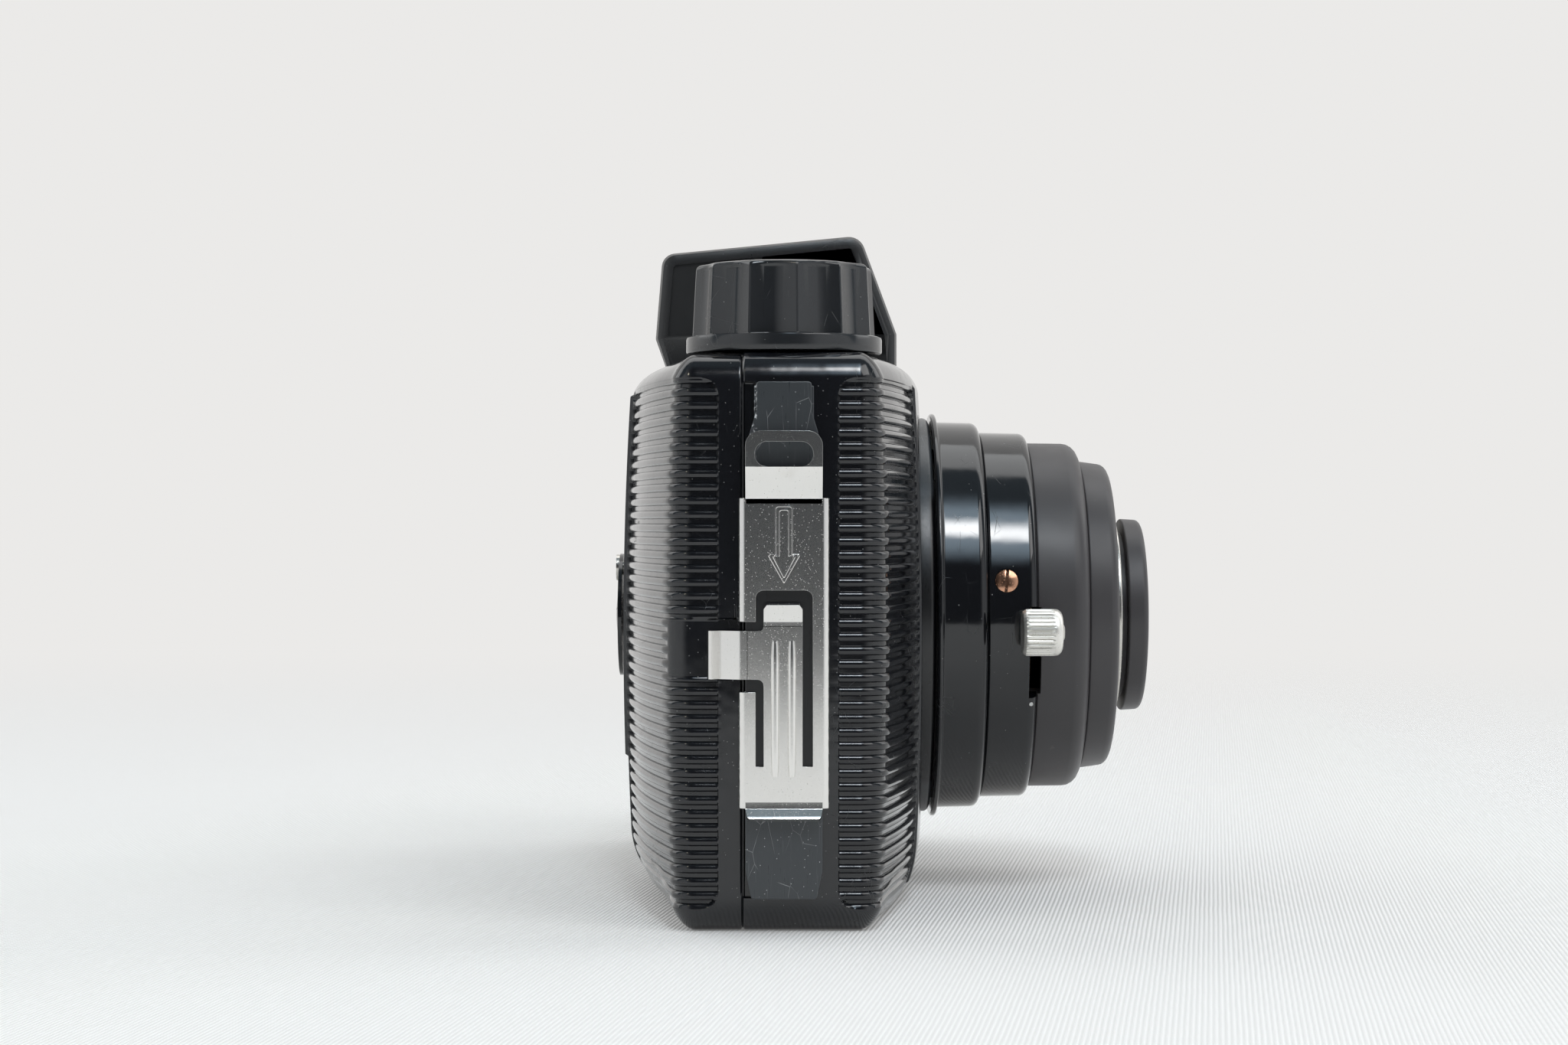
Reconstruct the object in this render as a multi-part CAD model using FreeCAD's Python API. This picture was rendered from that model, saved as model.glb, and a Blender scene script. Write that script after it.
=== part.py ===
"""Viewfinder camera for 120 roll film, collapsed, as an assembly of separate pieces.

Millimetres. +Z is up, the lens looks along -Y, and the winding knob is on the -X side.
The origin is the axis of the tripod bush at the base.
"""
import FreeCAD, Part
import math
import os

V = FreeCAD.Vector
X_AXIS = V(1, 0, 0)
Y_AXIS = V(0, 1, 0)
Z_AXIS = V(0, 0, 1)
FAR = 200.0

# Body moulding: two half shells that meet at a parting plane
BODY_HALF_LENGTH = 66.0
BODY_HEIGHT = 82.0
COVER_TOP_DROP = 0.4
BACK_APEX_Y = 25.3
BACK_ARC_R = 246.0
FRONT_APEX_Y = -22.6
FRONT_ARC_SAG = 8.2
FRONT_ARC_R = (BODY_HALF_LENGTH ** 2 + FRONT_ARC_SAG ** 2) / (2 * FRONT_ARC_SAG)
REAR_CORNER_R = 4.8
FRONT_CORNER_R = 4.8
RIM_FILLET_R = 4.3
WALL = 2.6
PARTING_Y = 5.85
FACE_MARGIN = 4.3
LIP_LENGTH = 2.4
LIP_THICKNESS = 1.1
FIT = 0.1

# Horizontal ribs, moulded as grooves between flat crests
RIB_PITCH = 1.92
GROOVE_WIDTH = 0.65
GROOVE_DEPTH = 0.5
RIB_Z_LOW = 4.2
RIB_COUNT = int((BODY_HEIGHT - 2 * RIB_Z_LOW) / RIB_PITCH)
FRONT_PANEL_Y = -7.6
FRONT_PANEL_X = 33.0
REAR_PANEL_Y = 9.2
REAR_PANEL_X = 18.0

# Raised plain panel on the back and the film window in it
BACK_PANEL_HALF_WIDTH = 16.5
BACK_PANEL_Z_LOW = 21.3
BACK_PANEL_Z_HIGH = BODY_HEIGHT - FACE_MARGIN
BACK_PANEL_RISE = 0.45
WINDOW_R = 3.5
RED_WINDOW_R = 5.6
RED_WINDOW_T = 0.8
WINDOW_RING_T = 0.5
WINDOW_COVER_R = 9.85
WINDOW_COVER_T = 0.6
WINDOW_DOME_R = 5.0
WINDOW_DOME_RISE = 0.7
WINDOW_PIVOT_OFFSET = 7.6
RIVET_R = 1.2
RIVET_HEAD_R = 2.1
RIVET_HEAD_T = 0.6

# Lens axis, film gate and spools
LENS_RISE = 1.9
LENS_Z = BODY_HEIGHT / 2 + LENS_RISE
GATE_WALL = 2.5
GATE_FRONT_Y = -12.4
GATE_FRONT_T = 1.6
GATE_TRACK_T = 3.0
FILM_GAP = 0.7
SPOOL_TO_END = 17.0
SPOOL_X = BODY_HALF_LENGTH - SPOOL_TO_END
SPOOL_ROOM = 16.0
SPOOL_LENGTH = BODY_HEIGHT - SPOOL_ROOM
SPOOL_FLANGE_R = 12.6
CHAMBER_GAP = 3.4
GATE_HALF_WIDTH = SPOOL_X - SPOOL_FLANGE_R - CHAMBER_GAP
GATE_END_GAP = 8.0
GATE_HALF_HEIGHT = BODY_HEIGHT / 2 - GATE_END_GAP
PICTURE_MARGIN = 5.0
PICTURE_HALF_WIDTH = GATE_HALF_WIDTH - PICTURE_MARGIN
PICTURE_HALF_HEIGHT = GATE_HALF_HEIGHT - PICTURE_MARGIN
GATE_SCREW_INSET = 6.0
GATE_SCREW_TIP_Y = -19.8
GATE_BOSS_R = 3.0
SPOOL_FLANGE_T = 1.0
SPOOL_CORE_R = 5.2
SPOOL_BORE_R = 2.9
SPOOL_SLOT = 1.5
PIN_R = 2.8
PIN_REACH = 4.0
PIN_COLLAR_R = 4.2
PIN_COLLAR_T = 0.8
BOSS_R = 5.5
BOSS_HEIGHT = 3.6

# Winding knob, shaft and ratchet
KNOB_GAP = 0.3
KNOB_FLANGE_R = 14.3
KNOB_FLANGE_T = 2.5
KNOB_R_LOW = 13.5
KNOB_R_TOP = 12.9
KNOB_BODY_HEIGHT = 10.7
KNOB_TOP_Z = BODY_HEIGHT + KNOB_GAP + KNOB_FLANGE_T + KNOB_BODY_HEIGHT
KNOB_CAP_T = 3.0
KNOB_FLUTES = 12
KNOB_FLUTE_R = 9.0
KNOB_FLUTE_DEPTH = 0.55
SHAFT_R = 3.0
SHAFT_RUN = 0.06
SHAFT_KEY_HALF_LENGTH = 4.3
SHAFT_KEY_T = 1.2
RATCHET_R = 8.0
RATCHET_T = 1.3
RATCHET_TEETH = 24
RATCHET_DROP = 0.5
PAWL_T = 0.4
PAWL_GAP = 0.15
PAWL_SCREW_OUT = 7.4
PAWL_SCREW_AHEAD = 3.1

# Viewfinder housing, side profile as (y, z) points from its foot round over the top
FINDER_HALF_WIDTH = 13.5
FINDER_PROFILE = [(18.6, 0.0), (20.3, 4.8), (19.2, 18.2), (-12.0, 21.2), (-17.8, 5.6), (-17.8, 0.0)]
FINDER_EDGE_R = 0.9
FINDER_AXIS_RISE = 10.6
FINDER_FRONT_W = 19.0
FINDER_FRONT_H = 11.6
FINDER_FRONT_SEAT_Y = -8.0
FINDER_TUNNEL_W = 15.0
FINDER_TUNNEL_H = 8.6
FINDER_REAR_SEAT_Y = 14.5
FINDER_REAR_R = 4.6
FINDER_GLASS_T = 1.6

# Clasp rail on each end, and the sheet clasp that slides on it
RAIL_NECK_RISE = 0.95
RAIL_HEAD_RISE = 1.5
RAIL_NECK_HALF = 4.2
RAIL_HEAD_HALF = 5.45
RAIL_END_HALF = 4.4
RAIL_Z_LOW = 4.9
RAIL_Z_HIGH = BODY_HEIGHT - FACE_MARGIN
RAIL_TAPER = 12.0
RAIL_LOW_TAPER = 3.6
SHEET_T = 0.7
CLASP_HALF_WIDTH = 6.4
CLASP_Z_LOW = 17.75
CLASP_Z_HIGH = 61.2
CLASP_LIP_OFF = 0.15
CLASP_LIP_T = 0.6
CLASP_EYE_OUT = 2.0
CLASP_EYE_Z_LOW = 65.3
CLASP_EYE_Z_HIGH = 70.6
CLASP_EYE_HALF = 5.4
EYE_SLOT_LENGTH = 8.25
EYE_SLOT_HEIGHT = 3.5
CLASP_TAIL_Z = 15.9
CLASP_TAIL_OUT = 1.2
TONGUE_Y_LOW = -2.6
TONGUE_Y_HIGH = 2.85
TONGUE_SLOT = 1.1
TONGUE_FOOT_Z = 23.5
TONGUE_TOP_Z = 46.4
TONGUE_BEND_Z = 43.6
TONGUE_TIP_OUT = 0.8
HOOK_Z_LOW = 35.8
HOOK_Z_HIGH = 42.6
HOOK_GAP_LOW = 34.6
HOOK_GAP_HIGH = 43.9
HOOK_BEND_Y = 6.1
HOOK_NIB_Y = 9.2
HOOK_END_Y = 10.6
HOOK_NIB_OFF = 0.15
HOOK_END_OUT = 0.9
POCKET_Y_HIGH = 17.4
POCKET_Z_HIGH = 44.3
POCKET_DEPTH = 1.1
STIFFENER_W = 1.25
STIFFENER_RISE = 0.3
STIFFENER_Y = (1.25, -1.1)
STIFFENER_Z_LOW = 21.1
STIFFENER_Z_HIGH = 41.8
ARROW_TIP_Z = 49.5
ARROW_BARB_Z = 53.3
ARROW_TAIL_Z = 59.9
ARROW_HALF_W = 2.18
ARROW_SHAFT_HALF = 1.05
ARROW_DEPTH = 0.2

# Stepped barrel: radii and stations along the lens axis
TUBE_R = 28.2
TUBE_WALL = 1.3
TUBE_BORE_R = TUBE_R - TUBE_WALL
SLEEVE_T = 1.3
SLEEVE_R = TUBE_R + FIT + SLEEVE_T
BASE_RING_W = 2.2
BASE_RING_R = SLEEVE_R + BASE_RING_W
BASE_RING_FRONT_Y = -23.2
SLEEVE_FRONT_Y = -29.9
SLEEVE_BACK_Y = -13.9
SLEEVE_FLANGE_W = 3.8
SLEEVE_FLANGE_R = SLEEVE_R + SLEEVE_FLANGE_W
SLEEVE_FLANGE_T = 1.8
PAD_R = 41.0
PAD_Y = -17.6
COLLAR_WALL = 1.3
COLLAR_R = SLEEVE_R + FIT + COLLAR_WALL
COLLAR_FLANGE_W = 1.5
COLLAR_FLANGE_R = COLLAR_R + COLLAR_FLANGE_W
COLLAR_FLANGE_BACK_Y = -23.4
COLLAR_BACK_Y = -24.3
COLLAR_FRONT_Y = -31.2
COLLAR_LIP_T = 1.2
TUBE_BACK_Y = -14.3
RING_TWO_RISE = 1.15
RING_TWO_R = TUBE_R + RING_TWO_RISE
RING_TWO_BACK_Y = -31.4
RING_TWO_FRONT_Y = -38.9
KEY_DEPTH = 0.6
KEY_WIDTH = 3.0
KEY_COUNT = 3
EXTENSION = 12.0
BARREL_TURN = 90.0
DRIVE_PIN_R = 1.0
DRIVE_PIN_Y = -16.0
DRIVE_PIN_COUNT = 2
HOUSING_RISE = 0.85
HOUSING_R = TUBE_BORE_R + HOUSING_RISE
HOUSING_BACK_Y = -39.5
HOUSING_FRONT_Y = -47.2
HOUSING_WALL = 1.0
HOUSING_BORE_R = TUBE_BORE_R - HOUSING_WALL
HOUSING_SPIGOT_Y = -32.6
HOUSING_FRONT_T = 1.5
BEZEL_STEP = 2.95
BEZEL_R_BACK = HOUSING_R - BEZEL_STEP
BEZEL_TAPER = 0.8
BEZEL_R_FRONT = BEZEL_R_BACK - BEZEL_TAPER
BEZEL_BACK_Y = -47.8
BEZEL_FRONT_Y = -52.0
BEZEL_SHOULDER = 2.2
BEZEL_SPIGOT_R = BEZEL_R_BACK - BEZEL_SHOULDER
BEZEL_WALL = 1.6
BEZEL_BORE_R = BEZEL_SPIGOT_R - BEZEL_WALL
BEZEL_FRONT_T = 1.5
LENS_RING_STEP = 5.5
LENS_RING_R = BEZEL_BORE_R - LENS_RING_STEP
RIM_W = 0.4
RIM_R = LENS_RING_R + RIM_W
RIM_FRONT_Y = -53.3
LENS_RING_BACK_Y = -54.3
LENS_RING_FRONT_Y = -57.5
LENS_NECK_STEP = 2.3
LENS_NECK_R = LENS_RING_R - LENS_NECK_STEP
LENS_SEAT_STEP = 7.3
LENS_SEAT_R = LENS_RING_R - LENS_SEAT_STEP
LENS_OPENING_STEP = 1.0
LENS_OPENING_R = LENS_SEAT_R - LENS_OPENING_STEP
LENS_T = 2.4
LENS_BULGE = 0.9
LENS_SEAT_Y = -53.2
RETAINER_T = 1.0
RETAINER_W = 0.7
RETAINER_BORE_R = LENS_SEAT_R - RETAINER_W

# Shutter and its release
SHUTTER_PLATE_Y = -44.5
SHUTTER_PLATE_T = 1.0
SHUTTER_HOLE_R = 5.0
BLADE_ARM = 12.0
BLADE_R = 7.0
BLADE_T = 0.3
BLADE_PIVOT_ANGLE = 45.0
PIVOT_R = 1.0
PIVOT_HEAD_R = 1.8
HUB_R = 12.0
HUB_BORE_R = 9.0
HUB_BACK_Y = -37.0
REAR_LENS_T = 2.2
LEVER_T = 0.9
LEVER_Y = -38.9
LEVER_R = 16.0
LEVER_BOSS_GAP = 0.5
LEVER_BOSS_R_OUT = HOUSING_BORE_R - LEVER_BOSS_GAP
LEVER_BOSS_LENGTH = 3.9
LEVER_BOSS_R_IN = LEVER_BOSS_R_OUT - LEVER_BOSS_LENGTH
LEVER_BOSS_HALF = 1.5
STEM_R = 0.9
STEM_Y = -38.45
RELEASE_ANGLE = 3.0
RELEASE_TRAVEL = 18.0
SLOT_ANGLE_HIGH = -3.0
SLOT_ANGLE_LOW = 24.0
SLOT_BACK_Y = -37.4
RELEASE_KNOB_R = 3.55
RELEASE_KNOB_REACH = 4.15
RELEASE_KNOB_OFFSET = RING_TWO_R + RELEASE_KNOB_REACH
RELEASE_KNOB_BACK_Y = -36.0
RELEASE_KNOB_FRONT_Y = -42.5
RELEASE_KNURLS = 18
SNAP_RING_R = 13.4
SNAP_RING_T = 0.5
SPRING_WIRE_R = 0.25
SPRING_COIL_R = 2.0
SPRING_PITCH = 0.7
SPRING_TURNS = 4
SPRING_POST_X = 13.0
SPRING_POST_Z = -10.0
SPRING_POST_LENGTH = 3.6
BARREL_SCREW_ANGLE = -11.8
BARREL_SCREW_Y = -34.1
BARREL_SCREW_HEAD_R = 1.75
BARREL_SCREW_HEAD_T = 0.9
BARREL_SCREW_COUNT = 3
SCREW_R = 1.0
SCREW_HEAD_R = 1.9
SCREW_HEAD_T = 0.8
SLEEVE_SCREW_R = 0.8
SLEEVE_SCREW_HEAD_R = 1.5
SLEEVE_SCREW_HEAD_T = 0.7
SLEEVE_SCREW_DEPTH = 2.6
SLEEVE_SCREW_ANGLE = 20.0
FINDER_SCREW_X = 9.0
FINDER_SCREW_DEPTH = 3.0
DOT_R = 0.3
DOT_ANGLE = 26.4
DOT_Y = -38.0

# Aperture lever: two holes on one plate that swings across the lens
APERTURE_PIVOT_X = -15.0
APERTURE_WIDE_R = 4.5
APERTURE_SMALL_R = 2.2
APERTURE_SWING = 28.0
APERTURE_PLATE_R = 11.0
APERTURE_PLATE_T = 0.4
APERTURE_PLATE_Y = -49.6
APERTURE_FINGER_GAP = 2.5
APERTURE_FINGER_REACH = BEZEL_BORE_R - APERTURE_PIVOT_X - APERTURE_FINGER_GAP
APERTURE_FINGER_R = 1.0
APERTURE_FINGER_TIP_Y = -54.0
APERTURE_SLOT_R = 1.15

# Tripod bush, quarter inch by 20 threads per inch, minor diameter
BUSH_BORE_R = 2.6
BUSH_R = 4.6
BUSH_DEPTH = 7.0
BUSH_FLANGE_R = 5.2
BUSH_FLANGE_T = 0.8
BUSH_BOSS_R = 5.8
BUSH_BOSS_HEIGHT = 8.4


def box(x0, x1, y0, y1, z0, z1):
    """A block between two corners."""
    return Part.makeBox(x1 - x0, y1 - y0, z1 - z0, V(x0, y0, z0))


def rod_y(radius, y0, y1, x=0.0, z=LENS_Z):
    """A cylinder along Y from y0 up to y1."""
    return Part.makeCylinder(radius, y1 - y0, V(x, y0, z), Y_AXIS)


def rod_z(radius, z0, z1, x=0.0, y=0.0):
    """A cylinder along Z from z0 up to z1."""
    return Part.makeCylinder(radius, z1 - z0, V(x, y, z0), Z_AXIS)


def ring_y(outer, inner, y0, y1, x=0.0, z=LENS_Z):
    """A ring about an axis along Y."""
    return rod_y(outer, y0, y1, x, z).cut(rod_y(inner, y0 - 1, y1 + 1, x, z))


def turned_y(points):
    """A closed (radius, y) profile turned about the lens axis."""
    corners = [V(radius, y, LENS_Z) for radius, y in points]
    wire = Part.makePolygon(corners + corners[:1])
    return Part.Face(wire).revolve(V(0, 0, LENS_Z), Y_AXIS, 360)


def prism_x(points, x0, x1):
    """A closed (y, z) outline carried along X."""
    corners = [V(x0, y, z) for y, z in points]
    wire = Part.makePolygon(corners + corners[:1])
    return Part.Face(wire).extrude(V(x1 - x0, 0, 0))


def prism_z(points, z0, z1):
    """A closed (x, y) outline carried along Z."""
    corners = [V(x, y, z0) for x, y in points]
    wire = Part.makePolygon(corners + corners[:1])
    return Part.Face(wire).extrude(V(0, 0, z1 - z0))


def prism_y(points, y0, y1):
    """A closed (x, z) outline carried along Y."""
    corners = [V(x, y0, z) for x, z in points]
    wire = Part.makePolygon(corners + corners[:1])
    return Part.Face(wire).extrude(V(0, y1 - y0, 0))


def about_lens(shape, angle):
    """A copy turned about the lens axis: a positive angle lifts the -X side."""
    copy = shape.copy()
    copy.rotate(V(0, 0, LENS_Z), Y_AXIS, angle)
    return copy


def around_lens(shape, count):
    """Equally spaced copies about the lens axis, as one group."""
    return [about_lens(shape, 360.0 * i / count) for i in range(count)]


def arc_slot_y(center_x, center_z, radius, half_width, start, stop, y0, y1):
    """A block that follows an arc in the XZ plane; angles run from +X towards +Z."""
    sector = ring_y(radius + half_width, radius - half_width, y0, y1, center_x, center_z)
    steps = 6
    reach = 2.0 * (radius + half_width)
    angles = [math.radians(start + (stop - start) * i / steps) for i in range(steps + 1)]
    fan = [(center_x, center_z)]
    fan += [(center_x + reach * math.cos(a), center_z + reach * math.sin(a)) for a in angles]
    return sector.common(prism_y(fan, y0, y1))


def edges_at_height(shape, z):
    """The edges that lie wholly at one height."""
    found = []
    for edge in shape.Edges:
        bound = edge.BoundBox
        if abs(bound.ZMin - z) < 1e-4 and abs(bound.ZMax - z) < 1e-4:
            found.append(edge)
    return found


def upright_edges(shape, x, y):
    """The vertical edges through a point of the plan, on both ends."""
    found = []
    for edge in shape.Edges:
        bound = edge.BoundBox
        upright = bound.ZLength > 0.1 and bound.XLength < 1e-4 and bound.YLength < 1e-4
        if upright and abs(abs(bound.XMin) - x) < 1e-3 and abs(bound.YMin - y) < 1e-3:
            found.append(edge)
    return found


def plan_block(inset, z0, z1):
    """The body's plan outline, drawn in by an inset and carried from z0 to z1."""
    half = BODY_HALF_LENGTH - inset
    back_r = BACK_ARC_R - inset
    front_r = FRONT_ARC_R - inset
    back_y = BACK_APEX_Y - BACK_ARC_R + math.sqrt(back_r ** 2 - half ** 2)
    front_y = FRONT_APEX_Y + FRONT_ARC_R - math.sqrt(front_r ** 2 - half ** 2)
    back = Part.Arc(V(-half, back_y, z0), V(0, BACK_APEX_Y - inset, z0), V(half, back_y, z0))
    right = Part.LineSegment(V(half, back_y, z0), V(half, front_y, z0))
    front = Part.Arc(V(half, front_y, z0), V(0, FRONT_APEX_Y + inset, z0), V(-half, front_y, z0))
    left = Part.LineSegment(V(-half, front_y, z0), V(-half, back_y, z0))
    wire = Part.Wire([back.toShape(), right.toShape(), front.toShape(), left.toShape()])
    block = Part.Face(wire).extrude(V(0, 0, z1 - z0))
    block = block.makeFillet(REAR_CORNER_R - inset, upright_edges(block, half, back_y))
    return block.makeFillet(FRONT_CORNER_R - inset, upright_edges(block, half, front_y))


def body_solid(height):
    """The outer form of the body with rounded top and bottom rims."""
    solid = plan_block(0.0, 0.0, height)
    rims = edges_at_height(solid, height) + edges_at_height(solid, 0.0)
    return solid.makeFillet(RIM_FILLET_R, rims)


def rib_grooves(keep_box):
    """The grooves of one ribbed panel, limited to a box of the plan."""
    shelf = plan_block(-1.0, 0.0, GROOVE_WIDTH).cut(plan_block(GROOVE_DEPTH, -1.0, GROOVE_WIDTH + 1.0))
    groove = shelf.common(keep_box)
    grooves = []
    for i in range(RIB_COUNT):
        copy = groove.copy()
        copy.translate(V(0, 0, RIB_Z_LOW + i * RIB_PITCH - GROOVE_WIDTH / 2))
        grooves.append(copy)
    return Part.makeCompound(grooves)


def both_sides(shape):
    """The piece and its mirror image across the middle plane."""
    return [shape, shape.mirror(V(0, 0, 0), X_AXIS)]


def rail():
    """The raised rail on the -X end: a neck with a wider head that the clasp grips."""
    face = -BODY_HALF_LENGTH
    top = RAIL_Z_HIGH
    shrink = RAIL_HEAD_HALF - RAIL_NECK_HALF
    head = [(-RAIL_END_HALF, top), (RAIL_END_HALF, top),
            (RAIL_HEAD_HALF, top - RAIL_TAPER), (RAIL_HEAD_HALF, RAIL_Z_LOW + RAIL_LOW_TAPER),
            (RAIL_END_HALF, RAIL_Z_LOW), (-RAIL_END_HALF, RAIL_Z_LOW),
            (-RAIL_HEAD_HALF, RAIL_Z_LOW + RAIL_LOW_TAPER), (-RAIL_HEAD_HALF, top - RAIL_TAPER)]
    neck = [(y - shrink if y > 0 else y + shrink, z) for y, z in head]
    solid = prism_x(head, face - RAIL_HEAD_RISE, face - RAIL_NECK_RISE)
    return solid.fuse(prism_x(neck, face - RAIL_NECK_RISE, face + 1.0))


def spool_top():
    return LENS_Z + SPOOL_LENGTH / 2


def spool_bottom():
    return LENS_Z - SPOOL_LENGTH / 2


def parting_ring(inset_out, inset_in, y0, y1, top):
    """A rectangular ring just inside the walls, for the light-tight lip."""
    half = BODY_HALF_LENGTH
    outer = box(-half + inset_out, half - inset_out, y0, y1, inset_out, top - inset_out)
    inner = box(-half + inset_in, half - inset_in, y0 - 1, y1 + 1, inset_in, top - inset_in)
    return outer.cut(inner)


def front_body():
    """The front half shell with its rails, bosses, barrel opening and ribs."""
    shell = body_solid(BODY_HEIGHT)
    cavity = plan_block(WALL, WALL, BODY_HEIGHT - WALL)
    pad = rod_y(PAD_R, FRONT_APEX_Y + WALL / 2, PAD_Y)
    pad = pad.common(plan_block(WALL / 2, WALL / 2, BODY_HEIGHT - WALL / 2))
    solid = shell.cut(cavity).fuse(pad)
    solid = solid.cut(box(-FAR, FAR, PARTING_Y, FAR, -FAR, FAR))
    rebate = parting_ring(WALL - LIP_THICKNESS - FIT, WALL + 1.0, PARTING_Y - LIP_LENGTH - FIT,
                          PARTING_Y + 1.0, BODY_HEIGHT - COVER_TOP_DROP)
    solid = solid.cut(rebate)
    solid = solid.fuse(rod_y(BASE_RING_R, BASE_RING_FRONT_Y, PAD_Y))
    for end_rail in both_sides(rail()):
        solid = solid.fuse(end_rail)
    solid = solid.fuse(rod_z(BUSH_BOSS_R, WALL / 2, BUSH_BOSS_HEIGHT))
    roof = BODY_HEIGHT - WALL / 2
    for x in (-SPOOL_X, SPOOL_X):
        solid = solid.fuse(rod_z(BOSS_R, WALL / 2, WALL + BOSS_HEIGHT, x))
        solid = solid.cut(rod_z(PIN_R, WALL, WALL + BOSS_HEIGHT + 1, x))
    solid = solid.fuse(rod_z(BOSS_R, spool_top() + FILM_GAP, roof, SPOOL_X))
    solid = solid.cut(rod_z(PIN_R, 0, BODY_HEIGHT - WALL, SPOOL_X).common(
        box(-FAR, FAR, -FAR, FAR, spool_top(), FAR)))
    solid = solid.cut(rod_z(SHAFT_R + SHAFT_RUN, spool_top(), FAR, -SPOOL_X))
    solid = solid.cut(rod_y(SLEEVE_R + FIT, -FAR, PARTING_Y))
    solid = solid.cut(rod_z(BUSH_R, -1, BUSH_DEPTH))
    solid = solid.cut(rod_z(BUSH_FLANGE_R, -1, BUSH_FLANGE_T))
    for x, z in gate_screw_places():
        solid = solid.cut(rod_y(SCREW_R, GATE_SCREW_TIP_Y, 0, x, z))
    for screw in sleeve_screw_shanks():
        solid = solid.cut(screw)
    for x, y in finder_screw_places():
        solid = solid.cut(rod_z(SCREW_R, BODY_HEIGHT - WALL - 1, FAR, x, y))
    x, y = pawl_screw_place()
    solid = solid.cut(rod_z(SCREW_R, BODY_HEIGHT - WALL - 1.0, BODY_HEIGHT - 1.0, x, y))
    keep = box(-FAR, -FRONT_PANEL_X, -FAR, FRONT_PANEL_Y, -FAR, FAR)
    for side in both_sides(rib_grooves(keep)):
        solid = solid.cut(side)
    return solid


def rear_cover():
    """The removable rear half shell with its lip, window seat, pockets and ribs."""
    height = BODY_HEIGHT - COVER_TOP_DROP
    shell = body_solid(height).cut(plan_block(WALL, WALL, height - WALL))
    panel = plan_block(-BACK_PANEL_RISE, BACK_PANEL_Z_LOW, BACK_PANEL_Z_HIGH)
    panel = panel.common(box(-BACK_PANEL_HALF_WIDTH, BACK_PANEL_HALF_WIDTH,
                             BACK_APEX_Y - WALL, FAR, -FAR, FAR))
    solid = shell.fuse(panel)
    solid = solid.cut(box(-FAR, FAR, -FAR, PARTING_Y, -FAR, FAR))
    lip = parting_ring(WALL - LIP_THICKNESS, WALL, PARTING_Y - LIP_LENGTH, PARTING_Y + 1.0, height)
    for x, radius in ((0, BUSH_BOSS_R), (-SPOOL_X, BOSS_R), (SPOOL_X, BOSS_R)):
        lip = lip.cut(rod_z(radius + FIT, -1, FAR, x))
    solid = solid.fuse(lip.common(box(-FAR, FAR, -FAR, PARTING_Y + 0.5, -FAR, FAR)))
    solid = solid.cut(rod_y(WINDOW_R, 0, FAR))
    solid = solid.cut(rod_y(RED_WINDOW_R, 0, window_seat_y()))
    solid = solid.cut(rod_y(RIVET_R, 0, FAR, 0, window_pivot_z()))
    face = BODY_HALF_LENGTH
    pocket = box(-face - 1, -face + POCKET_DEPTH, PARTING_Y - 1, POCKET_Y_HIGH,
                 HOOK_Z_LOW - FIT, POCKET_Z_HIGH)
    pocket = pocket.cut(box(-face, 0, -FAR, PARTING_Y + 0.8, -FAR, FAR))
    for side in both_sides(pocket):
        solid = solid.cut(side)
    keep = box(-FAR, -REAR_PANEL_X, REAR_PANEL_Y, FAR, -FAR, FAR)
    for side in both_sides(rib_grooves(keep)):
        solid = solid.cut(side)
    return solid


def window_seat_y():
    """Where the red window's outer face rests."""
    return BACK_APEX_Y - WALL + RED_WINDOW_T + WINDOW_RING_T


def window_pivot_z():
    return LENS_Z + WINDOW_PIVOT_OFFSET


def window_cover_y():
    """Where the swinging cover's inner face runs."""
    return BACK_APEX_Y + BACK_PANEL_RISE + 0.15


def red_window():
    seat = window_seat_y()
    return rod_y(RED_WINDOW_R - FIT / 2, seat - RED_WINDOW_T, seat)


def window_ring():
    seat = window_seat_y() - RED_WINDOW_T
    return ring_y(RED_WINDOW_R - FIT / 2, WINDOW_R, seat - WINDOW_RING_T, seat)


def window_cover():
    """A thin disc with a low dome, held near its rim by the rivet."""
    back = window_cover_y()
    front = back + WINDOW_COVER_T
    sphere_r = (WINDOW_DOME_R ** 2 + WINDOW_DOME_RISE ** 2) / (2 * WINDOW_DOME_RISE)
    center = V(0, front + WINDOW_DOME_RISE - sphere_r, LENS_Z)
    dome = Part.makeSphere(sphere_r, center).common(rod_y(WINDOW_DOME_R, front - 0.1, FAR))
    disc = rod_y(WINDOW_COVER_R, back, front).fuse(dome)
    return disc.cut(rod_y(RIVET_R + 0.06, 0, FAR, 0, window_pivot_z()))


def window_rivet():
    """The rivet that the window cover swings on."""
    head_y = window_cover_y() + WINDOW_COVER_T + 0.05
    inner_y = BACK_APEX_Y - WALL
    z = window_pivot_z()
    rivet = rod_y(RIVET_R, inner_y - 0.5, head_y + 0.1, 0, z)
    head = rod_y(RIVET_HEAD_R, head_y, head_y + RIVET_HEAD_T, 0, z)
    tail = rod_y(RIVET_HEAD_R, inner_y - 0.5, inner_y - 0.05, 0, z)
    return rivet.fuse(head).fuse(tail)


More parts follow.
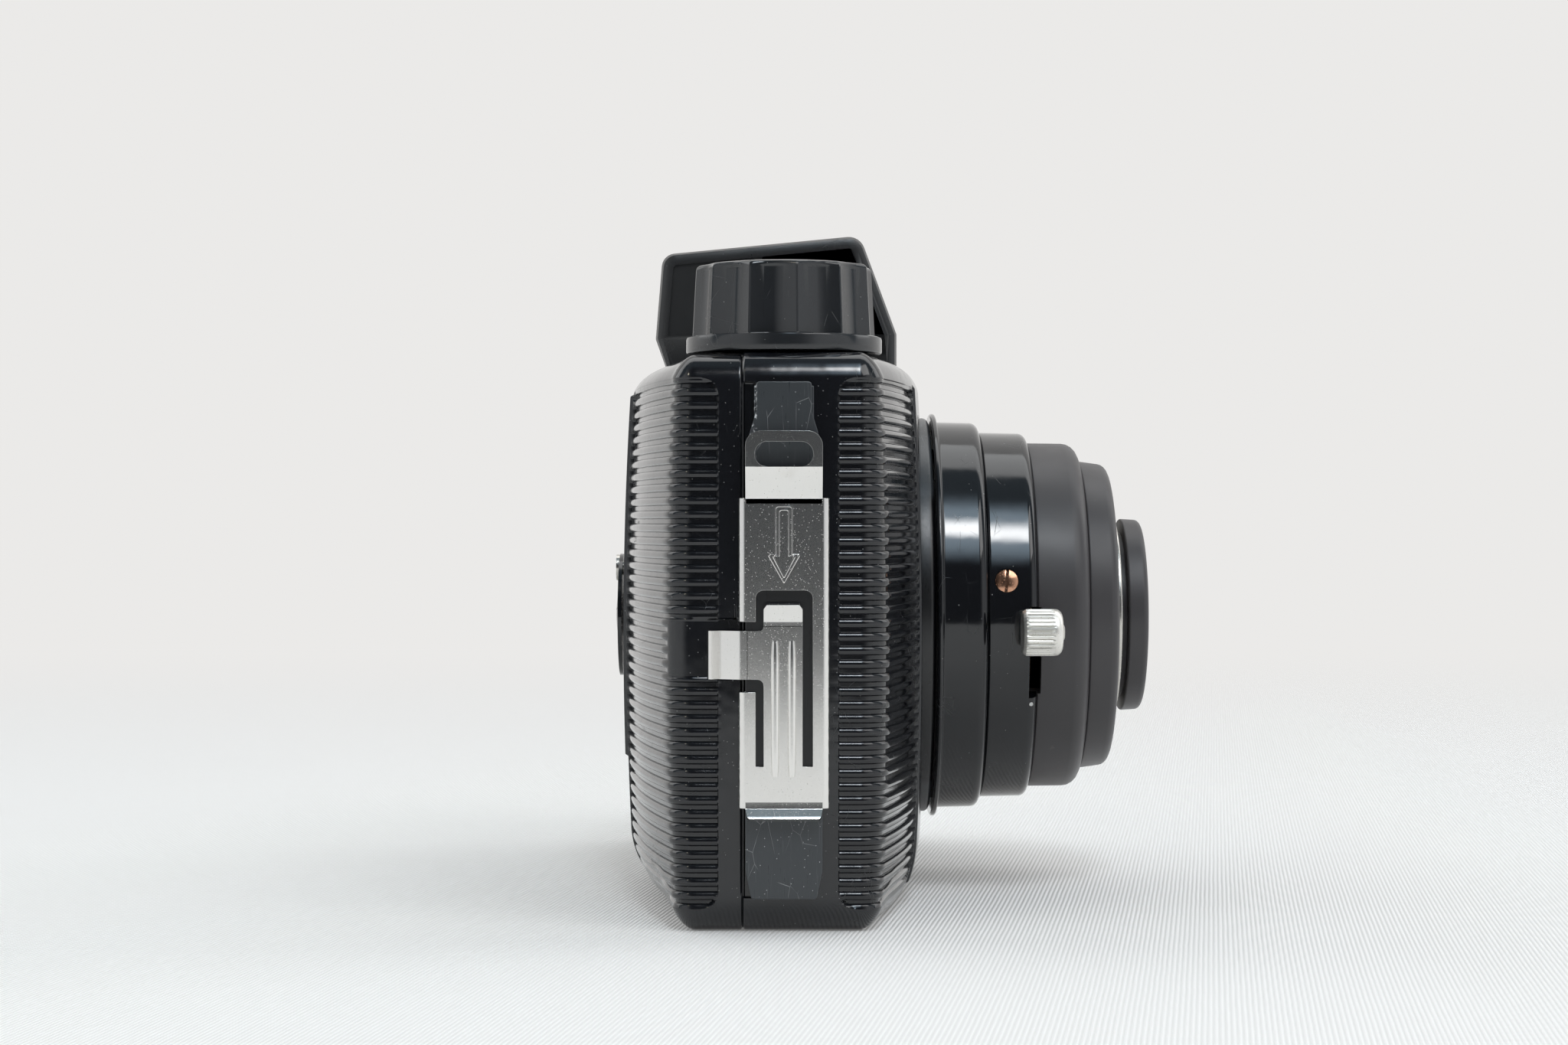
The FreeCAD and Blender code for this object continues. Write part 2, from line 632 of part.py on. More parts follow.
def film_gate():
    """The picture box between the spool chambers, with its curved film track."""
    half = GATE_HALF_WIDTH
    z0 = LENS_Z - GATE_HALF_HEIGHT
    z1 = LENS_Z + GATE_HALF_HEIGHT
    front = GATE_FRONT_Y
    block = box(-half, half, front, FAR / 2, z0, z1)
    track_r = BACK_ARC_R - WALL - FILM_GAP
    film_side = Part.makeCylinder(track_r, BODY_HEIGHT * 2,
                                  V(0, BACK_APEX_Y - BACK_ARC_R, -BODY_HEIGHT / 2), Z_AXIS)
    block = block.common(film_side)
    inner = half - GATE_WALL
    rear_y = BACK_APEX_Y - WALL - FILM_GAP - GATE_TRACK_T - 2.0
    block = block.cut(box(-inner, inner, front + GATE_FRONT_T, rear_y, z0 + GATE_WALL, z1 - GATE_WALL))
    block = block.cut(box(-PICTURE_HALF_WIDTH, PICTURE_HALF_WIDTH, front + 1, FAR,
                          LENS_Z - PICTURE_HALF_HEIGHT, LENS_Z + PICTURE_HALF_HEIGHT))
    block = block.cut(rod_y(TUBE_BORE_R, -FAR, front + GATE_FRONT_T + 1))
    for x, z in gate_screw_places():
        block = block.fuse(rod_y(GATE_BOSS_R, PAD_Y, front + 0.1, x, z))
        block = block.cut(rod_y(SCREW_R + FIT, -FAR, front + GATE_FRONT_T + 1, x, z))
    return block


def gate_screw_places():
    """Near the four corners of the gate, clear of its walls."""
    x = GATE_HALF_WIDTH - GATE_SCREW_INSET
    z = GATE_HALF_HEIGHT - GATE_SCREW_INSET
    return [(sx * x, LENS_Z + sz * z) for sx in (-1, 1) for sz in (-1, 1)]


def gate_screws():
    seat = GATE_FRONT_Y + GATE_FRONT_T
    screws = []
    for x, z in gate_screw_places():
        shank = rod_y(SCREW_R, GATE_SCREW_TIP_Y, seat + 0.1, x, z)
        screws.append(shank.fuse(rod_y(SCREW_HEAD_R, seat, seat + SCREW_HEAD_T, x, z)))
    return Part.makeCompound(screws)


def tripod_bush():
    """The threaded brass insert in the base, shown with a plain bore at the minor diameter."""
    solid = rod_z(BUSH_R, 0, BUSH_DEPTH).fuse(rod_z(BUSH_FLANGE_R, 0, BUSH_FLANGE_T))
    return solid.cut(rod_z(BUSH_BORE_R, -1, BUSH_DEPTH - 1.0))


def spool_pins():
    """The three plain pins that hold the spools, one group."""
    pins = []
    low = spool_bottom()
    for x in (-SPOOL_X, SPOOL_X):
        pin = rod_z(PIN_R, WALL, low + PIN_REACH, x)
        pins.append(pin.fuse(rod_z(PIN_COLLAR_R, low - 0.2 - PIN_COLLAR_T, low - 0.2, x)))
    top = spool_top()
    pins.append(rod_z(PIN_R, top - PIN_REACH, BODY_HEIGHT - WALL, SPOOL_X))
    return Part.makeCompound(pins)


def take_up_spool():
    """The empty 120 spool on the winding side."""
    low = spool_bottom()
    top = spool_top()
    x = -SPOOL_X
    spool = rod_z(SPOOL_CORE_R, low, top, x)
    spool = spool.fuse(rod_z(SPOOL_FLANGE_R, low, low + SPOOL_FLANGE_T, x))
    spool = spool.fuse(rod_z(SPOOL_FLANGE_R, top - SPOOL_FLANGE_T, top, x))
    spool = spool.cut(rod_z(SPOOL_BORE_R, low - 1, top + 1, x))
    reach = SHAFT_KEY_HALF_LENGTH + 0.3
    slot = box(x - reach, x + reach, -SPOOL_SLOT / 2, SPOOL_SLOT / 2, top - 2.0, top + 1)
    film_slot = box(x - 8, x + 8, -0.6, 0.6, low + 9, top - 9)
    return spool.cut(slot).cut(film_slot)


def winding_knob():
    """The flanged knob with wide shallow flutes."""
    x = -SPOOL_X
    flange_z = BODY_HEIGHT + KNOB_GAP
    body_z = flange_z + KNOB_FLANGE_T
    flange = rod_z(KNOB_FLANGE_R, flange_z, body_z, x)
    flange = flange.makeFillet(0.6, edges_at_height(flange, body_z))
    body = Part.makeCone(KNOB_R_LOW, KNOB_R_TOP, KNOB_TOP_Z - body_z, V(x, 0, body_z), Z_AXIS)
    body = body.makeFillet(1.2, edges_at_height(body, KNOB_TOP_Z))
    reach = KNOB_R_LOW - KNOB_FLUTE_DEPTH + KNOB_FLUTE_R
    for i in range(KNOB_FLUTES):
        angle = math.radians(360.0 * (i + 0.7) / KNOB_FLUTES)
        flute = rod_z(KNOB_FLUTE_R, body_z, KNOB_TOP_Z + 1,
                      x + reach * math.cos(angle), reach * math.sin(angle))
        body = body.cut(flute)
    solid = body.fuse(flange)
    return solid.cut(rod_z(SHAFT_R, 0, KNOB_TOP_Z - KNOB_CAP_T, x))


def winding_shaft():
    """The shaft with the key that turns the spool."""
    x = -SPOOL_X
    top = spool_top()
    shaft = rod_z(SHAFT_R, top + 0.3, KNOB_TOP_Z - KNOB_CAP_T, x)
    key = rod_z(PIN_R, top - PIN_REACH, top + 0.4, x)
    blade = box(x - SHAFT_KEY_HALF_LENGTH, x + SHAFT_KEY_HALF_LENGTH, -SHAFT_KEY_T / 2, SHAFT_KEY_T / 2,
                top - SPOOL_FLANGE_T, top + 0.9)
    return shaft.fuse(key).fuse(blade)


def ratchet_z():
    """The lower face of the ratchet wheel."""
    return BODY_HEIGHT - WALL - RATCHET_DROP - RATCHET_T


def ratchet_wheel():
    """The toothed wheel that stops the knob from turning back."""
    x = -SPOOL_X
    depth = 0.8
    points = []
    for i in range(RATCHET_TEETH):
        start = 2 * math.pi * i / RATCHET_TEETH
        stop = 2 * math.pi * (i + 0.85) / RATCHET_TEETH
        points.append((x + RATCHET_R * math.cos(start), RATCHET_R * math.sin(start)))
        low = RATCHET_R - depth
        points.append((x + low * math.cos(stop), low * math.sin(stop)))
    wheel = prism_z(points, ratchet_z(), ratchet_z() + RATCHET_T)
    return wheel.cut(rod_z(SHAFT_R, 0, FAR, x))


def pawl_screw_place():
    return -SPOOL_X - PAWL_SCREW_OUT, -RATCHET_R - PAWL_SCREW_AHEAD


def pawl_spring():
    """A leaf that clicks over the ratchet teeth."""
    roof = BODY_HEIGHT - WALL
    x, y = pawl_screw_place()
    inner = -RATCHET_R - PAWL_GAP
    leaf = box(x - 2.2, -SPOOL_X + 3.0, inner - PAWL_T, inner, ratchet_z(), roof)
    foot = box(x - 2.2, x + 2.2, y - 2.2, inner, roof - PAWL_T, roof)
    return leaf.fuse(foot).cut(rod_z(SCREW_R + FIT, 0, FAR, x, y))


def pawl_screw():
    roof = BODY_HEIGHT - WALL - PAWL_T
    x, y = pawl_screw_place()
    shank = rod_z(SCREW_R, roof - 0.1, BODY_HEIGHT - 1.0, x, y)
    return shank.fuse(rod_z(SCREW_HEAD_R, roof - SCREW_HEAD_T, roof, x, y))


def finder_axis_z():
    return BODY_HEIGHT + FINDER_AXIS_RISE


def viewfinder_housing():
    """The hump over the lens with a stepped tunnel for the finder's two lenses."""
    points = [(y, BODY_HEIGHT + rise) for y, rise in FINDER_PROFILE]
    solid = prism_x(points, -FINDER_HALF_WIDTH, FINDER_HALF_WIDTH)
    rounded = [e for e in solid.Edges if e.BoundBox.ZMax > BODY_HEIGHT + 0.5]
    solid = solid.makeFillet(FINDER_EDGE_R, rounded)
    z = finder_axis_z()
    front = box(-FINDER_FRONT_W / 2, FINDER_FRONT_W / 2, -FAR, FINDER_FRONT_SEAT_Y,
                z - FINDER_FRONT_H / 2, z + FINDER_FRONT_H / 2)
    tunnel = box(-FINDER_TUNNEL_W / 2, FINDER_TUNNEL_W / 2, FINDER_FRONT_SEAT_Y - 1,
                 FINDER_REAR_SEAT_Y - 1.5, z - FINDER_TUNNEL_H / 2, z + FINDER_TUNNEL_H / 2)
    solid = solid.cut(front).cut(tunnel)
    solid = solid.cut(rod_y(FINDER_REAR_R - 1.0, 0, FAR, 0, z))
    solid = solid.cut(rod_y(FINDER_REAR_R, FINDER_REAR_SEAT_Y, FAR, 0, z))
    for x, y in finder_screw_places():
        solid = solid.cut(rod_z(SCREW_R, BODY_HEIGHT - 1, BODY_HEIGHT + FINDER_SCREW_DEPTH, x, y))
    return solid


def finder_front_lens():
    z = finder_axis_z()
    half_w = FINDER_FRONT_W / 2 - FIT
    half_h = FINDER_FRONT_H / 2 - FIT
    plate = box(-half_w, half_w, FINDER_FRONT_SEAT_Y - FINDER_GLASS_T, FINDER_FRONT_SEAT_Y,
                z - half_h, z + half_h)
    curve_r = 40.0
    back = FINDER_FRONT_SEAT_Y - FINDER_GLASS_T - curve_r + 0.7
    return plate.cut(Part.makeSphere(curve_r, V(0, back, z)))


def finder_rear_lens():
    z = finder_axis_z()
    seat = FINDER_REAR_SEAT_Y
    return rod_y(FINDER_REAR_R - FIT / 2, seat, seat + FINDER_GLASS_T, 0, z)


def finder_rear_ring():
    z = finder_axis_z()
    seat = FINDER_REAR_SEAT_Y + FINDER_GLASS_T
    return ring_y(FINDER_REAR_R - FIT / 2, FINDER_REAR_R - 0.9, seat, seat + 0.8, 0, z)


def finder_screw_places():
    return [(-FINDER_SCREW_X, 0.0), (FINDER_SCREW_X, 0.0)]


def finder_screws():
    roof = BODY_HEIGHT - WALL
    screws = []
    for x, y in finder_screw_places():
        shank = rod_z(SCREW_R, roof - 0.1, BODY_HEIGHT + FINDER_SCREW_DEPTH, x, y)
        screws.append(shank.fuse(rod_z(SCREW_HEAD_R, roof - SCREW_HEAD_T, roof, x, y)))
    return Part.makeCompound(screws)


def clasp():
    """The sliding sheet clasp of the -X end, with its sprung hook tongue and strap eye."""
    face = -BODY_HALF_LENGTH
    web_in = face - RAIL_HEAD_RISE - FIT
    web_out = web_in - SHEET_T
    lip_in = face - CLASP_LIP_OFF
    half = CLASP_HALF_WIDTH
    low = CLASP_Z_LOW
    high = CLASP_Z_HIGH
    channel = box(web_out, lip_in, -half, half, low, high)
    channel = channel.cut(box(web_in, 0, -half + SHEET_T, half - SHEET_T, -FAR, FAR))
    corners = [e for e in channel.Edges
               if e.BoundBox.ZLength > 10 and abs(e.BoundBox.XMin - web_out) < 1e-4
               and abs(abs(e.BoundBox.YMin) - half) < 1e-4]
    channel = channel.makeFillet(SHEET_T, corners)
    lip_inner = RAIL_NECK_HALF + 0.2
    for side in (-1, 1):
        y0 = min(side * lip_inner, side * (half - 0.1))
        y1 = max(side * lip_inner, side * (half - 0.1))
        channel = channel.fuse(box(lip_in - CLASP_LIP_T, lip_in, y0, y1, low, high))
    slot_low = TONGUE_Y_LOW - TONGUE_SLOT
    slot_high = TONGUE_Y_HIGH + TONGUE_SLOT
    channel = channel.cut(box(-FAR, 0, slot_high, FAR, HOOK_GAP_LOW, HOOK_GAP_HIGH))
    window = box(-FAR, web_in + 0.1, slot_low, slot_high, TONGUE_FOOT_Z, TONGUE_TOP_Z + 1.9)
    channel = channel.cut(window)
    tip = TONGUE_TIP_OUT
    tongue = [(web_in, TONGUE_FOOT_Z), (web_in, TONGUE_BEND_Z), (web_in - tip, TONGUE_TOP_Z),
              (web_out - tip, TONGUE_TOP_Z), (web_out, TONGUE_BEND_Z), (web_out, TONGUE_FOOT_Z)]
    corners = [V(x, TONGUE_Y_LOW, z) for x, z in tongue]
    strip = Part.Face(Part.makePolygon(corners + corners[:1]))
    strip = strip.extrude(V(0, TONGUE_Y_HIGH - TONGUE_Y_LOW, 0))
    nib = face - HOOK_NIB_OFF
    hook = [(web_in, TONGUE_Y_HIGH), (web_in, HOOK_BEND_Y), (nib, HOOK_NIB_Y),
            (nib - HOOK_END_OUT, HOOK_END_Y), (nib - HOOK_END_OUT - SHEET_T, HOOK_END_Y - 0.25),
            (nib - SHEET_T, HOOK_NIB_Y - 0.1), (web_out, HOOK_BEND_Y + 0.2), (web_out, TONGUE_Y_HIGH)]
    arm = prism_z(hook, HOOK_Z_LOW, HOOK_Z_HIGH)
    solid = channel.fuse(strip).fuse(arm)
    for y in STIFFENER_Y:
        solid = solid.fuse(box(web_out - STIFFENER_RISE, web_out + 0.1, y - STIFFENER_W / 2,
                               y + STIFFENER_W / 2, STIFFENER_Z_LOW, STIFFENER_Z_HIGH))
    solid = solid.fuse(clasp_eye(web_in, web_out, high)).fuse(clasp_tail(web_in, web_out, low))
    arrow = [(0, ARROW_TIP_Z), (ARROW_HALF_W, ARROW_BARB_Z), (ARROW_SHAFT_HALF, ARROW_BARB_Z),
             (ARROW_SHAFT_HALF, ARROW_TAIL_Z), (-ARROW_SHAFT_HALF, ARROW_TAIL_Z),
             (-ARROW_SHAFT_HALF, ARROW_BARB_Z), (-ARROW_HALF_W, ARROW_BARB_Z)]
    return solid.cut(prism_x(arrow, web_out - 1, web_out + ARROW_DEPTH))


def clasp_eye(web_in, web_out, start):
    """The bent neck and the strap eye above the channel."""
    out = CLASP_EYE_OUT
    side = [(web_in, start - 0.2), (web_in, start), (web_in - out, CLASP_EYE_Z_LOW),
            (web_in - out, CLASP_EYE_Z_HIGH), (web_out - out, CLASP_EYE_Z_HIGH),
            (web_out - out, CLASP_EYE_Z_LOW), (web_out, start), (web_out, start - 0.2)]
    corners = [V(x, -CLASP_EYE_HALF, z) for x, z in side]
    plate = Part.Face(Part.makePolygon(corners + corners[:1])).extrude(V(0, 2 * CLASP_EYE_HALF, 0))
    tops = [e for e in plate.Edges if abs(e.BoundBox.ZMin - CLASP_EYE_Z_HIGH) < 1e-4
            and e.BoundBox.YLength < 1e-4]
    plate = plate.makeFillet(2.1, tops)
    reach = EYE_SLOT_LENGTH / 2 - EYE_SLOT_HEIGHT / 2
    z = CLASP_EYE_Z_HIGH - 1.5 - EYE_SLOT_HEIGHT / 2
    slot = box(-FAR, 0, -reach, reach, z - EYE_SLOT_HEIGHT / 2, z + EYE_SLOT_HEIGHT / 2)
    for y in (-reach, reach):
        slot = slot.fuse(Part.makeCylinder(EYE_SLOT_HEIGHT / 2, FAR, V(-FAR, y, z), X_AXIS))
    return plate.cut(slot)


def clasp_tail(web_in, web_out, start):
    """The lip at the bottom, curled outwards for the thumb."""
    out = CLASP_TAIL_OUT
    side = [(web_in, start + 0.2), (web_in, start), (web_in - out, CLASP_TAIL_Z),
            (web_out - out, CLASP_TAIL_Z), (web_out, start), (web_out, start + 0.2)]
    corners = [V(x, -CLASP_EYE_HALF, z) for x, z in side]
    return Part.Face(Part.makePolygon(corners + corners[:1])).extrude(V(0, 2 * CLASP_EYE_HALF, 0))


def drive_slot():
    """The helical slot that a drive pin follows through the sleeve."""
    middle_r = SLEEVE_R - SLEEVE_T / 2
    half_radial = SLEEVE_T / 2 + 0.3
    pitch = EXTENSION * 360.0 / BARREL_TURN
    slope = math.atan(pitch / (2 * math.pi * middle_r))
    slot_r = DRIVE_PIN_R + FIT
    half_axial = slot_r / math.cos(slope)
    left_handed = True
    helix = Part.makeHelix(pitch, EXTENSION, middle_r, 0, left_handed)
    corners = [V(middle_r - half_radial, 0, -half_axial), V(middle_r + half_radial, 0, -half_axial),
               V(middle_r + half_radial, 0, half_axial), V(middle_r - half_radial, 0, half_axial)]
    profile = Part.makePolygon(corners + corners[:1])
    sweep = Part.Wire(helix.Edges).makePipeShell([profile], True, True)
    inner = middle_r - half_radial
    for turn, height in ((0.0, 0.0), (BARREL_TURN, EXTENSION)):
        angle = math.radians(turn)
        way = V(math.cos(angle), -math.sin(angle), 0)
        end = Part.makeCylinder(slot_r, 2 * half_radial,
                                V(inner * way.x, inner * way.y, height), way)
        sweep = sweep.fuse(end)
    sweep.rotate(V(0, 0, 0), X_AXIS, 90)
    sweep.rotate(V(0, 0, 0), Y_AXIS, 180)
    sweep.translate(V(0, DRIVE_PIN_Y, LENS_Z))
    return sweep


def helical_sleeve():
    """The fixed sleeve in the front wall whose slots drive the barrel out."""
    inner = SLEEVE_R - SLEEVE_T
    sleeve = ring_y(SLEEVE_R, inner, SLEEVE_FRONT_Y, SLEEVE_BACK_Y)
    flange = ring_y(SLEEVE_FLANGE_R, inner, PAD_Y, PAD_Y + SLEEVE_FLANGE_T)
    flange = flange.common(plan_block(WALL + FIT, WALL + FIT, BODY_HEIGHT - WALL - FIT))
    for x, z in gate_screw_places():
        flange = flange.cut(rod_y(GATE_BOSS_R + FIT, -FAR, FAR, x, z))
    solid = sleeve.fuse(flange)
    for slot in around_lens(drive_slot(), DRIVE_PIN_COUNT):
        solid = solid.cut(slot)
    for x, z in sleeve_screw_places():
        solid = solid.cut(rod_y(SLEEVE_SCREW_R + FIT / 2, PAD_Y - 1, 0, x, z))
    return solid


def sleeve_screw_places():
    reach = (SLEEVE_R + SLEEVE_FLANGE_R) / 2 + 0.1
    x = reach * math.cos(math.radians(SLEEVE_SCREW_ANGLE))
    z = reach * math.sin(math.radians(SLEEVE_SCREW_ANGLE))
    return [(sx * x, LENS_Z + sz * z) for sx in (-1, 1) for sz in (-1, 1)]


def sleeve_screw_shanks():
    return [rod_y(SLEEVE_SCREW_R, PAD_Y - SLEEVE_SCREW_DEPTH, PAD_Y + SLEEVE_FLANGE_T + 0.1, x, z)
            for x, z in sleeve_screw_places()]


def sleeve_screws():
    seat = PAD_Y + SLEEVE_FLANGE_T
    screws = []
    for shank, place in zip(sleeve_screw_shanks(), sleeve_screw_places()):
        x, z = place
        head = rod_y(SLEEVE_SCREW_HEAD_R, seat, seat + SLEEVE_SCREW_HEAD_T, x, z)
        screws.append(shank.fuse(head))
    return Part.makeCompound(screws)


def barrel_collar():
    """The turning collar: a thin flange, a glossy ring and inner keys."""
    bore = SLEEVE_R + FIT
    lip_y = COLLAR_FRONT_Y + COLLAR_LIP_T
    solid = turned_y([(bore, COLLAR_FLANGE_BACK_Y), (COLLAR_FLANGE_R, COLLAR_FLANGE_BACK_Y),
                      (COLLAR_FLANGE_R, COLLAR_BACK_Y), (COLLAR_R, COLLAR_BACK_Y),
                      (COLLAR_R, COLLAR_FRONT_Y + 0.5), (COLLAR_R - 0.5, COLLAR_FRONT_Y),
                      (TUBE_R + FIT, COLLAR_FRONT_Y), (TUBE_R + FIT, lip_y), (bore, lip_y)])
    key_in = TUBE_R - KEY_DEPTH + FIT
    key = box(key_in, TUBE_R + 0.6, COLLAR_FRONT_Y, lip_y, LENS_Z - KEY_WIDTH / 2, LENS_Z + KEY_WIDTH / 2)
    for copy in around_lens(about_lens(key, 60), KEY_COUNT):
        solid = solid.fuse(copy)
    return solid


def release_slot(inner, outer, back_y, front_y):
    """The slot that the release stem travels in, on the -X side."""
    middle = (inner + outer) / 2
    return arc_slot_y(0, LENS_Z, middle, (outer - inner) / 2, 180 + SLOT_ANGLE_HIGH,
                      180 + SLOT_ANGLE_LOW, front_y, back_y)


def sliding_tube():
    """The moving tube; its front part is the second glossy ring."""
    front = RING_TWO_FRONT_Y
    round_r = 0.9
    solid = turned_y([(TUBE_BORE_R, TUBE_BACK_Y), (TUBE_R, TUBE_BACK_Y), (TUBE_R, RING_TWO_BACK_Y),
                      (RING_TWO_R, RING_TWO_BACK_Y), (RING_TWO_R, front + round_r),
                      (RING_TWO_R - 0.27 * round_r, front + 0.27 * round_r),
                      (RING_TWO_R - round_r, front), (TUBE_BORE_R, front)])
    key_way = box(TUBE_R - KEY_DEPTH, TUBE_R + 1, RING_TWO_BACK_Y, RING_TWO_BACK_Y + EXTENSION + 2.2,
                  LENS_Z - KEY_WIDTH / 2 - FIT, LENS_Z + KEY_WIDTH / 2 + FIT)
    for copy in around_lens(about_lens(key_way, 60), KEY_COUNT):
        solid = solid.cut(copy)
    for copy in drive_pin_blanks(TUBE_BORE_R - 1, TUBE_R + 1):
        solid = solid.cut(copy)
    solid = solid.cut(release_slot(TUBE_BORE_R - 1, RING_TWO_R + 1, SLOT_BACK_Y, front - 1))
    for head, shank in barrel_screw_pairs():
        solid = solid.cut(head).cut(shank)
    dot = radial_rod(DOT_R, RING_TWO_R - 0.4, RING_TWO_R + 1, DOT_ANGLE, DOT_Y)
    return solid.cut(dot)


def radial_rod(radius, r0, r1, below, y):
    """A rod that points out from the lens axis, an angle below the -X direction."""
    rod = Part.makeCylinder(radius, r1 - r0, V(-r0, y, LENS_Z), V(-1, 0, 0))
    return about_lens(rod, -below)


def index_dot():
    """The white mark inlaid beside the release slot."""
    return radial_rod(DOT_R, RING_TWO_R - 0.4, RING_TWO_R + 0.03, DOT_ANGLE, DOT_Y)


def drive_pin_blanks(r0, r1):
    rod = Part.makeCylinder(DRIVE_PIN_R, r1 - r0, V(-r0, DRIVE_PIN_Y, LENS_Z), V(-1, 0, 0))
    return around_lens(rod, DRIVE_PIN_COUNT)


def drive_pins():
    return Part.makeCompound(drive_pin_blanks(TUBE_BORE_R + 0.1, SLEEVE_R - 0.2))


def barrel_screw_pairs():
    """Head and shank of each radial screw through the second ring."""
    pairs = []
    for i in range(BARREL_SCREW_COUNT):
        below = BARREL_SCREW_ANGLE + 360.0 * i / BARREL_SCREW_COUNT
        top = RING_TWO_R - 0.05
        seat = top - BARREL_SCREW_HEAD_T
        head = radial_rod(BARREL_SCREW_HEAD_R, seat, top, below, BARREL_SCREW_Y)
        shank = radial_rod(SCREW_R, HOUSING_BORE_R + 0.1, seat + 0.1, below, BARREL_SCREW_Y)
        pairs.append((head, shank))
    return pairs


def barrel_screws():
    screws = []
    for i, pair in enumerate(barrel_screw_pairs()):
        head, shank = pair
        below = BARREL_SCREW_ANGLE + 360.0 * i / BARREL_SCREW_COUNT
        slot = box(-RING_TWO_R - 1, -RING_TWO_R + 0.45, BARREL_SCREW_Y - 0.25, BARREL_SCREW_Y + 0.25,
                   LENS_Z - 3, LENS_Z + 3)
        screws.append(head.fuse(shank).cut(about_lens(slot, -below)))
    return Part.makeCompound(screws)


def shutter_housing():
    """The matt third ring with the spigot that plugs into the tube."""
    front = HOUSING_FRONT_Y
    spigot_r = TUBE_BORE_R - FIT / 2
    round_r = 2.4
    arc = []
    for i in range(5):
        angle = math.radians(90.0 * i / 4)
        arc.append((HOUSING_R - round_r + round_r * math.cos(angle),
                    front + round_r - round_r * math.sin(angle)))
    points = [(HOUSING_BORE_R, HOUSING_SPIGOT_Y), (spigot_r, HOUSING_SPIGOT_Y),
              (spigot_r, HOUSING_BACK_Y), (HOUSING_R, HOUSING_BACK_Y)]
    points += arc
    points += [(BEZEL_SPIGOT_R + FIT / 2, front), (BEZEL_SPIGOT_R + FIT / 2, front + HOUSING_FRONT_T),
               (HOUSING_BORE_R, front + HOUSING_FRONT_T)]
    solid = turned_y(points)
    solid = solid.cut(release_slot(HOUSING_BORE_R - 1, TUBE_BORE_R + 0.4, SLOT_BACK_Y, HOUSING_BACK_Y))
    for head, shank in barrel_screw_pairs():
        solid = solid.cut(shank)
    return solid


def front_bezel():
    """The fourth ring: a cup that holds the lens ring, the rim and the aperture lever."""
    front = BEZEL_FRONT_Y
    wall_y = front + BEZEL_FRONT_T
    round_r = 1.4
    points = [(BEZEL_BORE_R, SHUTTER_PLATE_Y - 0.02), (BEZEL_SPIGOT_R, SHUTTER_PLATE_Y - 0.02),
              (BEZEL_SPIGOT_R, BEZEL_BACK_Y), (BEZEL_R_BACK, BEZEL_BACK_Y),
              (BEZEL_R_FRONT, front + round_r), (BEZEL_R_FRONT - 0.3 * round_r, front + 0.3 * round_r),
              (BEZEL_R_FRONT - round_r, front), (LENS_OPENING_R, front), (LENS_OPENING_R, wall_y),
              (BEZEL_BORE_R, wall_y)]
    solid = turned_y(points)
    swing = APERTURE_SWING / 2 + 3.0
    slot = arc_slot_y(APERTURE_PIVOT_X, LENS_Z, APERTURE_FINGER_REACH, APERTURE_SLOT_R,
                      -swing, swing, front - 1, wall_y + 1)
    solid = solid.cut(slot)
    return solid.cut(rod_y(PIVOT_R, front + 0.4, 0, APERTURE_PIVOT_X, LENS_Z))


def bright_rim():
    """The thin polished ring behind the lens ring."""
    return ring_y(RIM_R, LENS_NECK_R + FIT / 2, RIM_FRONT_Y, BEZEL_FRONT_Y)


def lens_ring():
    """The front lens cell with its bevelled mouth."""
    front = LENS_RING_FRONT_Y
    return turned_y([(LENS_OPENING_R, BEZEL_FRONT_Y), (LENS_NECK_R, BEZEL_FRONT_Y),
                     (LENS_NECK_R, LENS_RING_BACK_Y), (LENS_RING_R, LENS_RING_BACK_Y),
                     (LENS_RING_R, front + 0.4), (LENS_RING_R - 0.4, front),
                     (LENS_RING_R - 1.4, front), (LENS_SEAT_R + 1.6, front + 1.2),
                     (LENS_SEAT_R, front + 1.2), (LENS_SEAT_R, LENS_SEAT_Y),
                     (LENS_OPENING_R, LENS_SEAT_Y)])


def meniscus(radius, y_back, thickness, bulge):
    """A round lens with a domed front."""
    sphere_r = (radius ** 2 + bulge ** 2) / (2 * bulge)
    y_front = y_back - thickness
    dome = Part.makeSphere(sphere_r, V(0, y_front - bulge + sphere_r, LENS_Z))
    return rod_y(radius, y_front - bulge, y_back).common(dome)


def front_lens():
    return meniscus(LENS_SEAT_R - FIT / 2, LENS_SEAT_Y, LENS_T - LENS_BULGE, LENS_BULGE)


def lens_retainer():
    """The threaded ring that holds the front lens by the edge of its dome."""
    edge_rise = LENS_BULGE * (1 - (RETAINER_BORE_R / LENS_SEAT_R) ** 2)
    seat = LENS_SEAT_Y - LENS_T + LENS_BULGE - edge_rise - 0.02
    return ring_y(LENS_SEAT_R - FIT / 2, RETAINER_BORE_R, seat - RETAINER_T, seat)


def shutter_plate():
    """The plate that carries the blade, the rear lens hub and the spring post."""
    y = SHUTTER_PLATE_Y
    solid = ring_y(HOUSING_BORE_R - FIT / 2, SHUTTER_HOLE_R, y, y + SHUTTER_PLATE_T)
    x, z = blade_pivot_place()
    solid = solid.cut(rod_y(PIVOT_R, y - 1, 0, x, z))
    post = rod_y(SPRING_COIL_R - SPRING_WIRE_R - FIT, y + 0.1, y + SHUTTER_PLATE_T + SPRING_POST_LENGTH,
                 SPRING_POST_X, LENS_Z + SPRING_POST_Z)
    return solid.fuse(post)


def blade_pivot_place():
    angle = math.radians(BLADE_PIVOT_ANGLE)
    return BLADE_ARM * math.cos(angle), LENS_Z + BLADE_ARM * math.sin(angle)


